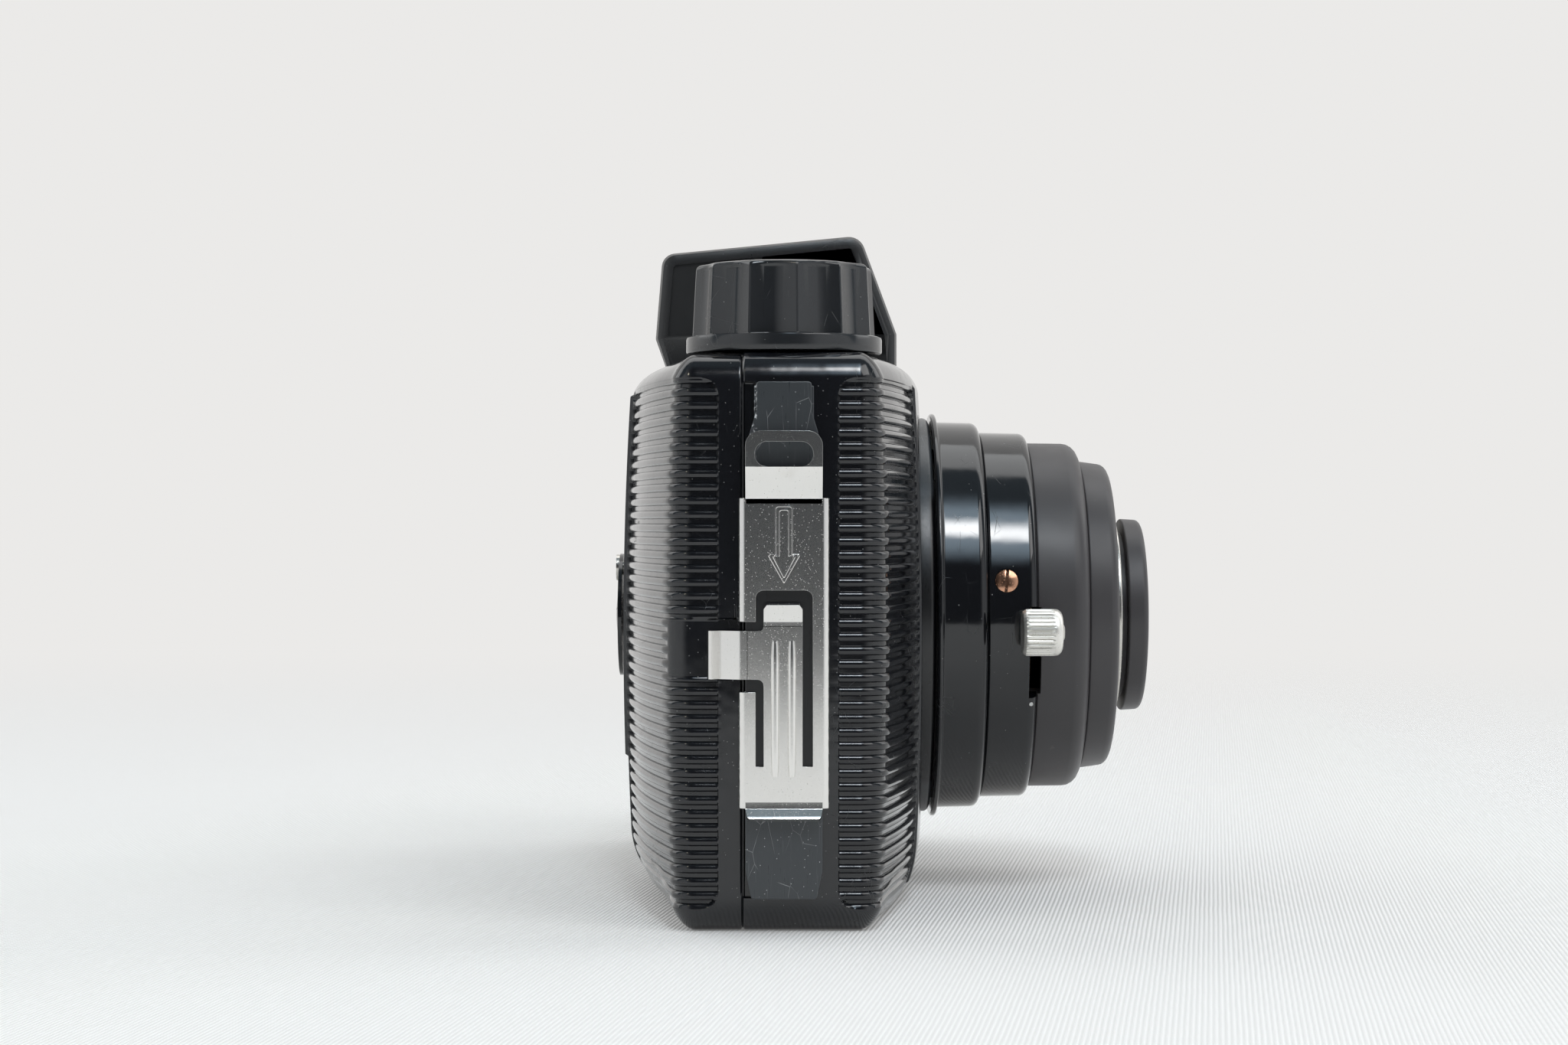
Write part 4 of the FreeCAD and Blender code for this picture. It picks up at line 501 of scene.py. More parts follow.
def dark_metal():
    """Blackened metal inside the camera, with worn paler edges."""
    color = (0.016, 0.016, 0.017)
    finish = Finish("blackened_metal", color, 0.42)
    wear = finish.noise(0.5, 5.0, 0.7).between(0.60, 0.78)
    return finish.set(Base_Color=finish.mix(wear * 0.35, color, (0.10, 0.095, 0.09)),
                      Roughness=0.5 - wear * 0.12,
                      Normal=finish.bump(finish.noise(4.0, 3.0, 0.6), 0.15, 0.02))


def clear_glass(name, color, roughness=0.02):
    """Solid glass with a few dust specks in its roughness."""
    finish = Finish(name, color, roughness, IOR=1.52, Transmission_Weight=1.0)
    return finish.set(Roughness=dust(finish, 1.2, 0.08, 0.06) * 0.4 + roughness)


def white_paint():
    """Matt white with slightly darker clouds."""
    finish = Finish("white_mark", (0.82, 0.82, 0.80), 0.6)
    cloud = finish.noise(4.0).between(0.4, 0.8) * 0.5
    return finish.set(Base_Color=finish.mix(cloud, (0.85, 0.85, 0.83), (0.6, 0.6, 0.57)))


blackened = dark_metal()
glass = clear_glass("glass", (0.93, 0.96, 0.97))
red_glass = clear_glass("red_glass", (0.62, 0.02, 0.015), 0.06)
white_mark = white_paint()
print("other finishes:", blackened.name, glass.name, red_glass.name, white_mark.name)

# %% [markdown]
# The two body halves. Each is a shell whose outer face is a grid: columns run along the plan outline, from
# the parting line round to the parting line again, and rows run up the height. The outline is a line, a
# corner arc and a large arc, mirrored. Near the top and bottom the rows draw in along an ellipse quadrant,
# which makes the rounded rim. Ribs, borders and pockets are a height field along the normal, so all of it
# is one unbroken moulding.

# %% Plan outline of a body half


def half_outline(apex_y, arc_r, corner_r, count=6000):
    """Points and outward normals along a half's plan, and the arc length, as arrays.

    The plan is a straight end at x = -half length, a corner circle that touches the end and the big arc
    from inside, the big arc about (0, apex -+ R), and the mirror image. The front half bulges to -Y and
    the rear half to +Y.
    """
    side = -1.0 if apex_y < PARTING_Y else 1.0
    big_y = apex_y - side * arc_r
    corner_x = -HALF_LENGTH + corner_r
    corner_y = big_y + side * math.sqrt((arc_r - corner_r) ** 2 - corner_x ** 2)
    touch = math.atan2(-corner_x, abs(corner_y - big_y))
    line = abs(corner_y - PARTING_Y)
    corner = corner_r * (math.pi / 2 - touch)
    half = line + corner + arc_r * touch
    s = np.linspace(0, half, count)
    on_line = np.stack([np.full(count, -HALF_LENGTH), PARTING_Y + side * s], -1)
    a = np.clip((s - line) / corner_r, 0, math.pi / 2 - touch)
    on_corner = np.stack([corner_x - corner_r * np.cos(a), corner_y + side * corner_r * np.sin(a)], -1)
    b = touch - np.clip((s - line - corner) / arc_r, 0, touch)
    on_arc = np.stack([-arc_r * np.sin(b), big_y + side * arc_r * np.cos(b)], -1)
    normal_line = np.stack([np.full(count, -1.0), np.zeros(count)], -1)
    normal_corner = np.stack([-np.cos(a), side * np.sin(a)], -1)
    normal_arc = np.stack([-np.sin(b), side * np.cos(b)], -1)
    first = (s < line)[:, None]
    second = (s < line + corner)[:, None]
    points = np.where(first, on_line, np.where(second, on_corner, on_arc))
    normals = np.where(first, normal_line, np.where(second, normal_corner, normal_arc))
    flip = np.array([-1.0, 1.0])
    points = np.concatenate([points, points[-2::-1] * flip])
    normals = np.concatenate([normals, normals[-2::-1] * flip])
    length = np.concatenate([s, 2 * half - s[-2::-1]])
    return points, normals, length


def outline_at(outline, s):
    """The outline's points and unit normals at given arc lengths."""
    points, normals, length = outline
    where = np.stack([np.interp(s, length, points[:, k]) for k in (0, 1)], -1)
    way = np.stack([np.interp(s, length, normals[:, k]) for k in (0, 1)], -1)
    return where, way / np.linalg.norm(way, axis=-1, keepdims=True)


def arc_length_at(outline, column, value):
    """The arc length on the first half at which x (0) or y (1) reaches a value."""
    points, _, length = outline
    half = len(length) // 2
    return length[:half][np.argmin(np.abs(points[:half, column] - value))]


def smooth_step(x, low, high):
    t = np.clip((x - low) / (high - low), 0, 1)
    return t * t * (3 - 2 * t)


def smooth_band(x, a, b, c, d):
    """0 below a, 1 from b to c, 0 above d."""
    return smooth_step(x, a, b) * (1 - smooth_step(x, c, d))


def round_box(u, v, half_u, half_v, r):
    """Signed distance to a rectangle with round corners: negative inside."""
    qu = np.abs(u) - half_u + r
    qv = np.abs(v) - half_v + r
    outside = np.hypot(np.maximum(qu, 0), np.maximum(qv, 0))
    return outside + np.minimum(np.maximum(qu, qv), 0) - r


FRONT_SAG = 8.2
REAR_ARC_R = 246.0
CORNER_R = 4.8
front_outline = half_outline(FRONT_Y, (HALF_LENGTH ** 2 + FRONT_SAG ** 2) / (2 * FRONT_SAG), CORNER_R)
rear_outline = half_outline(BACK_Y, REAR_ARC_R, CORNER_R)
print("outline lengths: front %.1f, rear %.1f" % (front_outline[2][-1], rear_outline[2][-1]))

# %% [markdown]
# Ribs. One rib is a half-round crest about 1.3 mm wide beside a flat groove: with t the distance from the
# crest's middle over half the pitch, the crest is sqrt(1 - (t / 0.70)^2) and the groove is zero. The panel
# that holds them is a rounded rectangle in (arc length, height), and its edge is a crisp little step.

# %% Rib field
RIB_PITCH = 1.92
RIB_FIRST = 4.2
RIB_CREST = 0.70
RIB_DEPTH = 0.54
PANEL_SINK = 0.14
PANEL_LOW = 3.3
PANEL_HIGH = 78.3
PANEL_CORNER_R = 2.8
SEAM_DEPTH = 0.30
SHELL_WALL = 2.6


def rib_height(z):
    """How far the panel's surface lies below the plain surface at a height."""
    t = (z - RIB_FIRST) / RIB_PITCH
    t = np.abs(t - np.floor(t) - 0.5) * 2
    crest = np.sqrt(np.clip(1 - (t / RIB_CREST) ** 2, 0, 1))
    return -PANEL_SINK - RIB_DEPTH * (1 - crest)


def panel_field(s, z, s_low, s_high):
    """The height field of one ribbed panel on (arc length, height)."""
    middle_s = (s_low + s_high) / 2
    middle_z = (PANEL_LOW + PANEL_HIGH) / 2
    half_s = (s_high - s_low) / 2
    half_z = (PANEL_HIGH - PANEL_LOW) / 2
    edge = round_box(s - middle_s, z - middle_z, half_s, half_z, PANEL_CORNER_R)
    return rib_height(z) * smooth_step(-edge, 0.0, 0.20)


def seam(s):
    """The step that the skin makes down to the parting line."""
    return SEAM_DEPTH * (1 - smooth_step(s, -0.04, 0.34))


def height_rows(top, rim):
    """Row heights: fine steps over the ribs, and steps of equal angle on the outermost part of each rim."""
    middle = np.arange(PANEL_LOW - 0.6, PANEL_HIGH + 0.6, RIB_PITCH / 14)
    a = np.linspace(0, 1, 9)[:-1] * math.acos(1 - middle[0] / rim)
    b = np.linspace(1, 0, 9)[1:] * math.acos(1 - (top - middle[-1]) / rim)
    return np.concatenate([rim * (1 - np.cos(a)), middle, top - rim * (1 - np.cos(b))])


def rim_inset(z, top, low_rim, high_rim, reach_low, reach_high):
    """How far a rim draws in at a height, an ellipse quadrant below and one above, and how far it leans."""
    low = np.clip(1 - z / low_rim, 0, 1)
    high = np.clip(1 - (top - z) / high_rim, 0, 1)
    draw_low, draw_high = (1 - np.sqrt(1 - share ** 2) for share in (low, high))
    return draw_low * reach_low + draw_high * reach_high, high - low


def offset_skin(points, normals, out, z):
    """The outline moved along its normals at each row's height, with its two ends on the parting plane."""
    x = points[:, 0] + normals[:, 0] * out
    y = points[:, 1] + normals[:, 1] * out
    grid = stacked(x, y, z)
    grid[:, [0, -1], 1] = PARTING_Y
    return grid


def shell_half(name, outline, top, end_rim, face_low, face_high, field, columns):
    """A closed half shell: grid outside, plain grid inside, joined by a flat rim on the parting plane.

    end_rim, face_low and face_high are (height, depth) pairs of the rounded rims: at the ends, and at the
    foot and the top of the broad face. A column's rims blend from the end's to the face's as the outline
    turns to the face.
    """
    z = height_rows(top, end_rim[0])[:, None]

    def surface(s, z):
        """Points and normals of the outline at s, with the rims' inset and their lean."""
        points, normals = outline_at(outline, s)
        facing = np.abs(normals[:, 1])[None, :] ** 2
        share = facing * smooth_step(HALF_LENGTH - np.abs(points[:, 0]), 1.5, 16)
        low = [a + (b - a) * share for a, b in zip(end_rim, face_low)]
        high = [a + (b - a) * share for a, b in zip(end_rim, face_high)]
        inset, lean = rim_inset(z, top, low[0], high[0], low[1], high[1])
        bulge = 1.1 * ((z - top / 2) / (top / 2 - 4)) ** 2 * facing
        return points, normals, inset + np.minimum(bulge, 1.2), lean

    points, normals, inset, lean = surface(columns, z)
    lift = field(columns[None, :], z)
    out = lift * np.sqrt(np.clip(1 - lean ** 2, 0, 1))
    skin = offset_skin(points, normals, out - inset, z + lift * lean)
    inner_z = np.clip(z, SHELL_WALL, top - SHELL_WALL)
    points, normals, inset, _ = surface(columns[::4], inner_z)
    lining = offset_skin(points, normals, -(inset + SHELL_WALL), inner_z)
    faces = sheet_of(skin, cap_start=True, cap_end=True)[1]
    lining_faces = sheet_of(lining, cap_start=True, cap_end=True)[1]
    n, m = skin.shape[:2]
    k = lining.shape[1]
    shift = n * m
    faces += [tuple(int(v) + shift for v in face) for face in lining_faces]
    up = np.arange(n - 1)
    for edge, lining_edge in ((0, 0), (m - 1, k - 1)):
        first = up * m + edge
        second = shift + up * k + lining_edge
        faces += np.stack([first, first + m, second + k, second], -1).tolist()
    faces.append((0, m - 1, shift + k - 1, shift))
    faces.append(((n - 1) * m, n * m - 1, shift + n * k - 1, shift + (n - 1) * k))
    return make_mesh(name, [(np.concatenate([skin.reshape(-1, 3), lining.reshape(-1, 3)]), faces)], 40)


def mirrored_columns(stops, steps, total):
    """Column positions: each stretch between two stops of a half gets its own number of steps."""
    stops = stops + [total - v for v in stops[-2::-1]]
    steps = steps + steps[::-1]
    pieces = [np.linspace(a, b, n, endpoint=False) for a, b, n in zip(stops[:-1], stops[1:], steps)]
    return np.concatenate(pieces + [stops[-1:]])


# %% [markdown]
# The front half. Its panels start 7.6 mm in front of the clasp's axis and run round the corner to a smooth
# upright border beside the lens. The border is a low raised band, with the plain disc of the barrel's seat
# between the two.

# %% Front half
front_total = front_outline[2][-1]
panel_start = arc_length_at(front_outline, 1, -7.6)
panel_stop = arc_length_at(front_outline, 0, -33.0)
border_stop = arc_length_at(front_outline, 0, -30.2)
BORDER_RAISED = 0.30
STRIP_SINK = 0.95


def front_field(s, z):
    """Ribs on both panels, a raised border band beside the barrel and a sunk strip behind each rail."""
    mirrored = np.minimum(s, front_total - s)
    strip = round_box(mirrored - 0.95, z - 41.3, 0.85, 36.4, 0.3)
    ribs = panel_field(mirrored, z, panel_start, panel_stop)
    band = smooth_band(mirrored, panel_stop + 0.15, panel_stop + 0.45, border_stop, border_stop + 0.4)
    band = band * smooth_band(z, 2.9, 3.6, 78.0, 78.8)
    return ribs + band * BORDER_RAISED - seam(mirrored) - STRIP_SINK * smooth_step(-strip, 0.0, 0.14)


half_stops = [0, 0.36, 0.5, 1.6, 1.9, panel_start - 0.05, panel_start + 0.25, panel_start + 3.2,
              panel_stop - 3.2, panel_stop - 0.25, panel_stop + 0.6, border_stop - 0.5, border_stop + 0.5,
              front_total / 2]
front_columns = mirrored_columns(half_stops, [3, 4, 4, 5, 8, 4, 10, 40, 10, 8, 3, 6, 14], front_total)
front_shell = shell_half("front_shell", front_outline, BODY_TOP, (5.0, 4.2), (9.8, 3.8), (4.1, 4.5),
                         front_field, front_columns)


def disc(radius, count=96):
    """A circle as a flat closed outline about the origin."""
    a = turns(count)
    return np.stack([radius * np.cos(a), radius * np.sin(a)], -1)


def slab(name, outline, axis, start, stop):
    """A closed prism as an object of its own, for use as a cutter."""
    return make_mesh(name, [prism(outline, axis, start, stop)])


def rectangle(x0, x1, y0, y1):
    return [(x0, y0), (x1, y0), (x1, y1), (x0, y1)]


BORE_R = collar_high[0] - 2.8
BUSH_R = 4.7
carve(front_shell,
      slab("sleeve_hole", disc(BORE_R, 160) + [0, LENS_Z], 1, -24.0, -17.0),
      slab("shaft_hole", disc(3.3) + [KNOB_X, 0], 2, BODY_TOP - 4, BODY_TOP + 1),
      slab("bush_hole", disc(BUSH_R), 2, -1.0, 4.0))
seat = [(BORE_R, -20.4), (31.8, -20.4), (31.8, -23.2), (BORE_R, -23.2)]
fitted = [turned(rounded(seat, [0.1, 0.1, 0.9, 0.1], 5))]
neck = rectangle(-4.2, 4.2, 5.4, 77.0)
head = np.array([(-3.9, 77.6), (3.9, 77.6), (3.9, 73.4), (4.75, 70.6), (5.4, 66.0), (5.4, 9.0), (4.6, 4.95),
                 (-4.6, 4.95), (-5.4, 9.0), (-5.4, 66.0), (-4.75, 70.6), (-3.9, 73.4)])
for side in (-1, 1):
    end = side * HALF_LENGTH
    fitted.append(prism(neck, 0, end - side * 0.6, end + side * 1.0))
    fitted.append(prism(rounded(head, 0.5, 3), 0, end + side * 0.95, end + side * 1.5))
fittings = make_mesh("rails_and_seat", fitted, 30)
soften(fittings, 0.12)
bosses = []
for x, inner_r, outer_r, low, high in ((-KNOB_X, 2.9, 5.5, BODY_TOP - 6.2, BODY_TOP - 2.5),
                                       (-KNOB_X, 2.9, 5.5, 2.5, 6.2),
                                       (KNOB_X, 2.9, 5.5, 2.5, 6.2),
                                       (0.0, BUSH_R, 5.8, 2.0, 8.4)):
    bosses.append(upright(rectangle(inner_r, outer_r, low, high), x))
spool_bosses = make_mesh("spool_bosses", bosses, 30)
dress(front_shell, "body", bakelite_ribs, "bakelite", "front_body")
dress(fittings, "body", bakelite_rail, "bakelite")
dress(spool_bosses, "body", bakelite, "bakelite")

# %% [markdown]
# The rear half lifts off. Its ribs run right round the back to a raised plain panel in the middle, and each
# end has a scooped pocket in which the clasp's hook arm sits.

# %% Rear half
rear_total = rear_outline[2][-1]
rear_start = arc_length_at(rear_outline, 1, 9.2)
rear_stop = arc_length_at(rear_outline, 0, -18.0)
plate_start = arc_length_at(rear_outline, 0, -16.5)
pocket_stop = rear_start + 8.2
POCKET_LOW = 35.7
POCKET_HIGH = 44.3
PLATE_LOW = 21.3
PLATE_HIGH = 77.7


def rear_field(s, z):
    """Ribs, the hook's pocket and the raised plain panel."""
    mirrored = np.minimum(s, rear_total - s)
    middle_s = pocket_stop / 2
    middle_z = (POCKET_LOW + POCKET_HIGH) / 2
    half_z = (POCKET_HIGH - POCKET_LOW) / 2
    pocket = round_box(mirrored - middle_s, z - middle_z, middle_s + 1.5, half_z, 0.6)
    inside = smooth_step(-pocket, -0.05, 0.25)
    depth = (0.55 * smooth_step(mirrored, rear_start, pocket_stop) - 0.95) * smooth_step(mirrored, 0.6, 1.0)
    ribs = panel_field(mirrored, z, rear_start, rear_stop) * (1 - inside) + depth * inside
    plate = smooth_step(mirrored, plate_start - 0.2, plate_start + 0.2)
    plate = plate * smooth_band(z, PLATE_LOW - 0.2, PLATE_LOW + 0.2, PLATE_HIGH - 0.2, PLATE_HIGH + 0.2)
    return ribs + plate * PLATE_RAISED - seam(mirrored)


half_stops = [0, 0.36, 0.6, 1.0, rear_start - 0.05, rear_start + 0.25, rear_start + 2.8, pocket_stop - 0.3,
              pocket_stop + 0.3, rear_stop - 3.0, rear_stop - 0.25, rear_stop + 0.1, plate_start - 0.3,
              plate_start + 0.3, rear_total / 2]
rear_columns = mirrored_columns(half_stops, [3, 2, 3, 5, 4, 10, 12, 5, 30, 8, 4, 3, 5, 10], rear_total)
rear_shell = shell_half("rear_shell", rear_outline, COVER_TOP, (5.2, 4.2), (10.2, 8.1), (4.1, 6.2),
                        rear_field, rear_columns)
carve(rear_shell, slab("window_hole", disc(3.5) + [0, LENS_Z], 1, 15.0, 40.0))

ring = []
for inset, y in ((2.75, 2.0), (2.75, -2.4), (3.85, -2.4), (3.85, 2.0)):
    x = HALF_LENGTH - inset
    loop = rounded(rectangle(-x, x, inset, COVER_TOP - inset), 3.0, 6)
    ring.append(np.insert(loop, 1, PARTING_Y + y, axis=1))
lip = make_mesh("cover_lip", [hoop(ring)], 30)
dress(rear_shell, "back", bakelite_ribs, "bakelite", "rear_cover")
dress(lip, "back", bakelite, "bakelite")

# %% [markdown]
# The viewfinder is a hump moulded on its own and screwed to the roof: a side profile with a rising roof and
# a sloping front, drawn as a closed outline with rounded corners and carried across the camera. Its side
# walls are sunk a little inside a frame, and a pyramid-shaped tunnel runs from the front window to the
# eyepiece.

# %% Viewfinder
FINDER_HALF = node_box("viewfinder_housing")[1][0]
FINDER_AXIS_Z = BODY_TOP + 10.6
profile = np.array([(18.6, 0.0), (20.3, 4.8), (19.2, 18.2), (-12.0, 21.2), (-17.8, 5.6), (-17.8, 0.0)])
profile = profile + [0, BODY_TOP]


def shrunk(outline, inset, base):
    """A counterclockwise outline with every side moved inwards by a distance, its two end corners at base.

    With n and m the inward normals of a corner's two sides, the corner moves by
    inset * (n + m) / (1 + n.m).
    """
    way = np.roll(outline, -1, axis=0) - outline
    after = np.stack([-way[:, 1], way[:, 0]], -1) / np.linalg.norm(way, axis=1, keepdims=True)
    before = np.roll(after, 1, axis=0)
    out = outline + inset * (before + after) / (1 + (before * after).sum(axis=1, keepdims=True))
    out[[0, -1], 1] = base
    return out


def window_cut(name, r, *ends):
    """A cutter between upright windows with round corners, each given as (width, height, y)."""
    rows = []
    for width, height, y in ends:
        window = rounded(rectangle(-width / 2, width / 2, -height / 2, height / 2), r, 4)
        rows.append(np.insert(window + [0, FINDER_AXIS_Z], 1, y, axis=1))
    return make_mesh(name, [block(rows)])


round_r = np.array([0.6, 1.2, 2.2, 2.6, 0.8, 0.6])
steps = []
for inset, x in ((1.15, -FINDER_HALF), (0.35, -FINDER_HALF + 0.35), (0.0, -FINDER_HALF + 1.2),
                 (0.0, FINDER_HALF - 1.2), (0.35, FINDER_HALF - 0.35), (1.15, FINDER_HALF)):
    outline = rounded(shrunk(profile, inset, BODY_TOP), np.maximum(round_r - inset * 0.5, 0.3), 6)
    steps.append(np.insert(outline, 0, x, axis=1))
hump = make_mesh("finder_hump", [block(steps)], 20)
panel = rounded(shrunk(profile, 1.9, BODY_TOP + 5.4), 0.8, 4)
carve(hump,
      slab("panel_low", panel, 0, -FINDER_HALF - 1, -FINDER_HALF + 0.3),
      slab("panel_high", panel, 0, FINDER_HALF - 0.3, FINDER_HALF + 1),
      window_cut("front_recess", 0.8, (19.0, 11.6, -30.0), (19.0, 11.6, -8.0)),
      window_cut("tunnel", 0.6, (15.0, 8.6, -9.0), (7.4, 6.2, 15.0)),
      slab("eye_seat", disc(4.6, 64) + [0, FINDER_AXIS_Z], 1, 14.5, 30.0),
      touching=True)
dress(hump, "body", bakelite_hump, "bakelite", "viewfinder_housing")

# %% [markdown]
# The winding knob: a flange below and a body whose radius varies with the angle as well as the height.
# Between two neighbouring ridges the radius falls by depth * (1 - t^2) * (1 - 0.12 |t|), t going from -1 to
# 1, which gives twelve hollow flutes.

# %% Winding knob
KNOB_FLUTES = 12
FLUTE_DEPTH = 1.25
RIDGE_TURN = math.radians(8.0)


def knob_surface():
    """Rows of (radius, z, share of the fluting); the flutes fade out in the top rounding."""
    top = knob_high[2]
    low = BODY_TOP + 0.3
    rows = [(3.6, low, 0), (13.9, low, 0), (14.2, low + 0.12, 0), (14.3, low + 0.4, 0),
            (14.3, low + 2.1, 0), (14.2, low + 2.38, 0), (13.95, low + 2.5, 0), (13.62, low + 2.5, 1),
            (13.5, low + 2.62, 1)]
    for k in np.linspace(0, math.pi / 2, 7):
        rows.append((12.1 + 0.9 * math.cos(k), top - 1.15 + 0.9 * math.sin(k), 1 - 0.5 * math.sin(k)))
    rows += [(11.0, top - 0.12, 0.2), (9.0, top - 0.05, 0), (4.0, top, 0), (0.0, top, 0)]
    radius, z, share = np.array(rows).T[..., None]
    angle = turns(KNOB_FLUTES * 24)
    t = ((angle - RIDGE_TURN) / (2 * math.pi) * KNOB_FLUTES) % 1.0 * 2 - 1
    r = radius - share * FLUTE_DEPTH * (1 - t ** 2) * (1 - 0.12 * np.abs(t))
    grid = stacked(KNOB_X - r * np.cos(angle), -r * np.sin(angle), z)
    return sheet_of(grid, close_columns=True, cap_start=True)


knob = make_mesh("fluted_knob", [knob_surface()], 24)
dress(knob, "winder", bakelite_knob, "bakelite", "winding_knob")

# %% [markdown]
# The barrel's rings are turned: a closed outline of radius against y with small fillets at its corners,
# swept round the lens axis. The two rear rings are polished, the two front ones were left matt.

# %% Barrel rings


def held(outline, share=0.03, length=1.2):
    """The outline with two more points near the ends of each long side, which keeps its shading flat."""
    out = []
    for here, after in zip(outline, np.roll(outline, -1, axis=0)):
        out.append(here)
        if np.linalg.norm(after - here) > length:
            out += [here + (after - here) * share, after + (here - after) * share]
    return np.array(out)


def ring_piece(name, corners, segments=192):
    """A turned ring from (radius, y, fillet) corners."""
    corners = np.array(corners)
    outline = held(rounded(corners[:, :2], corners[:, 2], 5))
    return make_mesh(name, [turned(outline, segments)], 26)


collar_ring = ring_piece("collar_ring", [
    (BORE_R, -23.4, 0.1), (32.5, -23.4, 0.45), (32.5, -24.3, 0.4), (31.15, -24.35, 0.25),
    (31.0, -31.2, 1.3), (28.3, -31.2, 0.3), (28.3, -30.0, 0.1), (BORE_R, -30.0, 0.1)])
tube = ring_piece("tube_and_ring", [
    (26.9, -14.3, 0.2), (28.2, -14.3, 0.3), (28.2, -31.23, 0.15), (29.45, -31.23, 0.45), (29.3, -38.9, 1.5),
    (26.9, -38.9, 0.3)], 256)


def on_barrel(side, along, out, turn):
    """Points sideways, along y and out from the lens axis, at an angle below -X in radians."""
    return stacked(-out * np.cos(turn) - side * np.sin(turn), along,
                   LENS_Z - out * np.sin(turn) + side * np.cos(turn))


def release_slot(name, y0, y1):
    """A cutter for the slot that the release lever moves in: a block between two radii and two angles."""
    section = np.array(rectangle(24.0, 33.0, y0, y1))
    turn = np.radians(np.linspace(-4.0, 24.4, 40))[:, None]
    return make_mesh(name, [block(on_barrel(0.0, section[:, 1], section[:, 0], turn))])


# The screws' measures: radii about their own axis, and heights as distances from the lens axis.
SCREW_Y = -34.1
SCREW_TURNS = np.radians((-11.8, 108.2, 228.2))
HEAD_R = 1.76
HEAD_BASE = 28.1
HEAD_TOP = 29.55
HEAD_FALL = 0.36
SEAT_R = 1.86
SEAT_FLOOR = 28.42
SLOT_FLOOR = 28.70
SLOT_HALF_WIDTH = 0.23
SLOT_LEAN = 0.09
t = np.linspace(1, 0.02, 9)[:, None]
radius = np.concatenate([[[1.0]], t]) * HEAD_R
height = np.concatenate([[[HEAD_BASE]], HEAD_TOP - HEAD_FALL * t ** 2])
circle = disc(1.0, 48)
seat_ring = disc(SEAT_R, 40)
slot = np.array(rectangle(-2.2, 2.2, -SLOT_HALF_WIDTH, SLOT_HALF_WIDTH))
slot[:, 1] = slot[:, 1] - SLOT_LEAN * slot[:, 0]
seats = []
screws = []
slots = []
for turn in SCREW_TURNS:
    reach = np.array([[SEAT_FLOOR], [33.0]])
    seats.append(block(on_barrel(seat_ring[:, 0], SCREW_Y + seat_ring[:, 1], reach, turn)))
    screws.append(block(on_barrel(radius * circle[:, 0], SCREW_Y + radius * circle[:, 1], height, turn)))
    reach = np.array([[SLOT_FLOOR], [31.0]])
    slots.append(block(on_barrel(slot[:, 0], SCREW_Y + slot[:, 1], reach, turn)))
carve(tube, release_slot("slot_a", -37.6, -45.0), make_mesh("screw_seats", seats))
screws = make_mesh("slotted_screws", screws, 40)
carve(screws, make_mesh("screw_slots", slots))
soften(screws, 0.05, 2, 50.0)
housing = ring_piece("housing_ring", [
    (25.9, -32.6, 0.1), (26.8, -32.6, 0.1), (26.8, -38.95, 0.1), (27.75, -38.95, 0.25), (27.65, -47.2, 2.9),
    (22.7, -47.2, 0.3), (22.7, -45.7, 0.1), (25.9, -45.7, 0.1)], 256)
bezel = ring_piece("bezel_ring", [
    (22.5, -46.6, 0.1), (22.5, -47.25, 0.1), (24.85, -47.25, 0.3), (24.2, -52.0, 1.5), (15.7, -52.0, 0.3),
    (15.7, -50.5, 0.1), (21.0, -50.5, 0.1), (21.0, -46.6, 0.1)])
rim_piece = ring_piece("rim_ring", [
    (13.6, -52.05, 0.1), (15.9, -52.05, 0.2), (15.9, -53.3, 0.3), (13.6, -53.3, 0.1)])
lens_piece = ring_piece("lens_ring_turned", [
    (8.25, -52.3, 0.1), (13.2, -52.3, 0.1), (13.2, -54.3, 0.1), (15.5, -54.3, 0.3), (15.3, -57.5, 0.9),
    (11.5, -57.5, 0.4), (8.4, -56.3, 0.3), (7.2, -55.6, 0.1), (7.2, -53.2, 0.1), (8.25, -53.2, 0.1)])
carve(housing, release_slot("slot_b", -37.6, -39.52))
dress(collar_ring, "collar", bakelite_rings, "bakelite", "barrel_collar")
for piece, finish, slot_name, node in ((tube, bakelite_rings, "bakelite", "sliding_tube"),
                                       (screws, copper, "brass", "barrel_screws"),
                                       (housing, matt_black, "matt_black", "shutter_housing"),
                                       (rim_piece, nickel_fine, "nickel", "bright_rim"),
                                       (lens_piece, matt_black, "matt_black", "lens_ring"),
                                       (bezel, matt_black, "matt_black", "front_bezel")):
    dress(piece, "barrel", finish, slot_name, node)

# %% [markdown]
# The release knob is turned from brass and plated. Its knurls are straight: the radius dips in a narrow
# notch at each of 32 equal steps of a turn, and the notches fade out before the smooth domed end.

# %% Release knob
KNURLS = 32
KNURL_DEPTH = 0.20
release_low, release_high = node_box("release_knob")


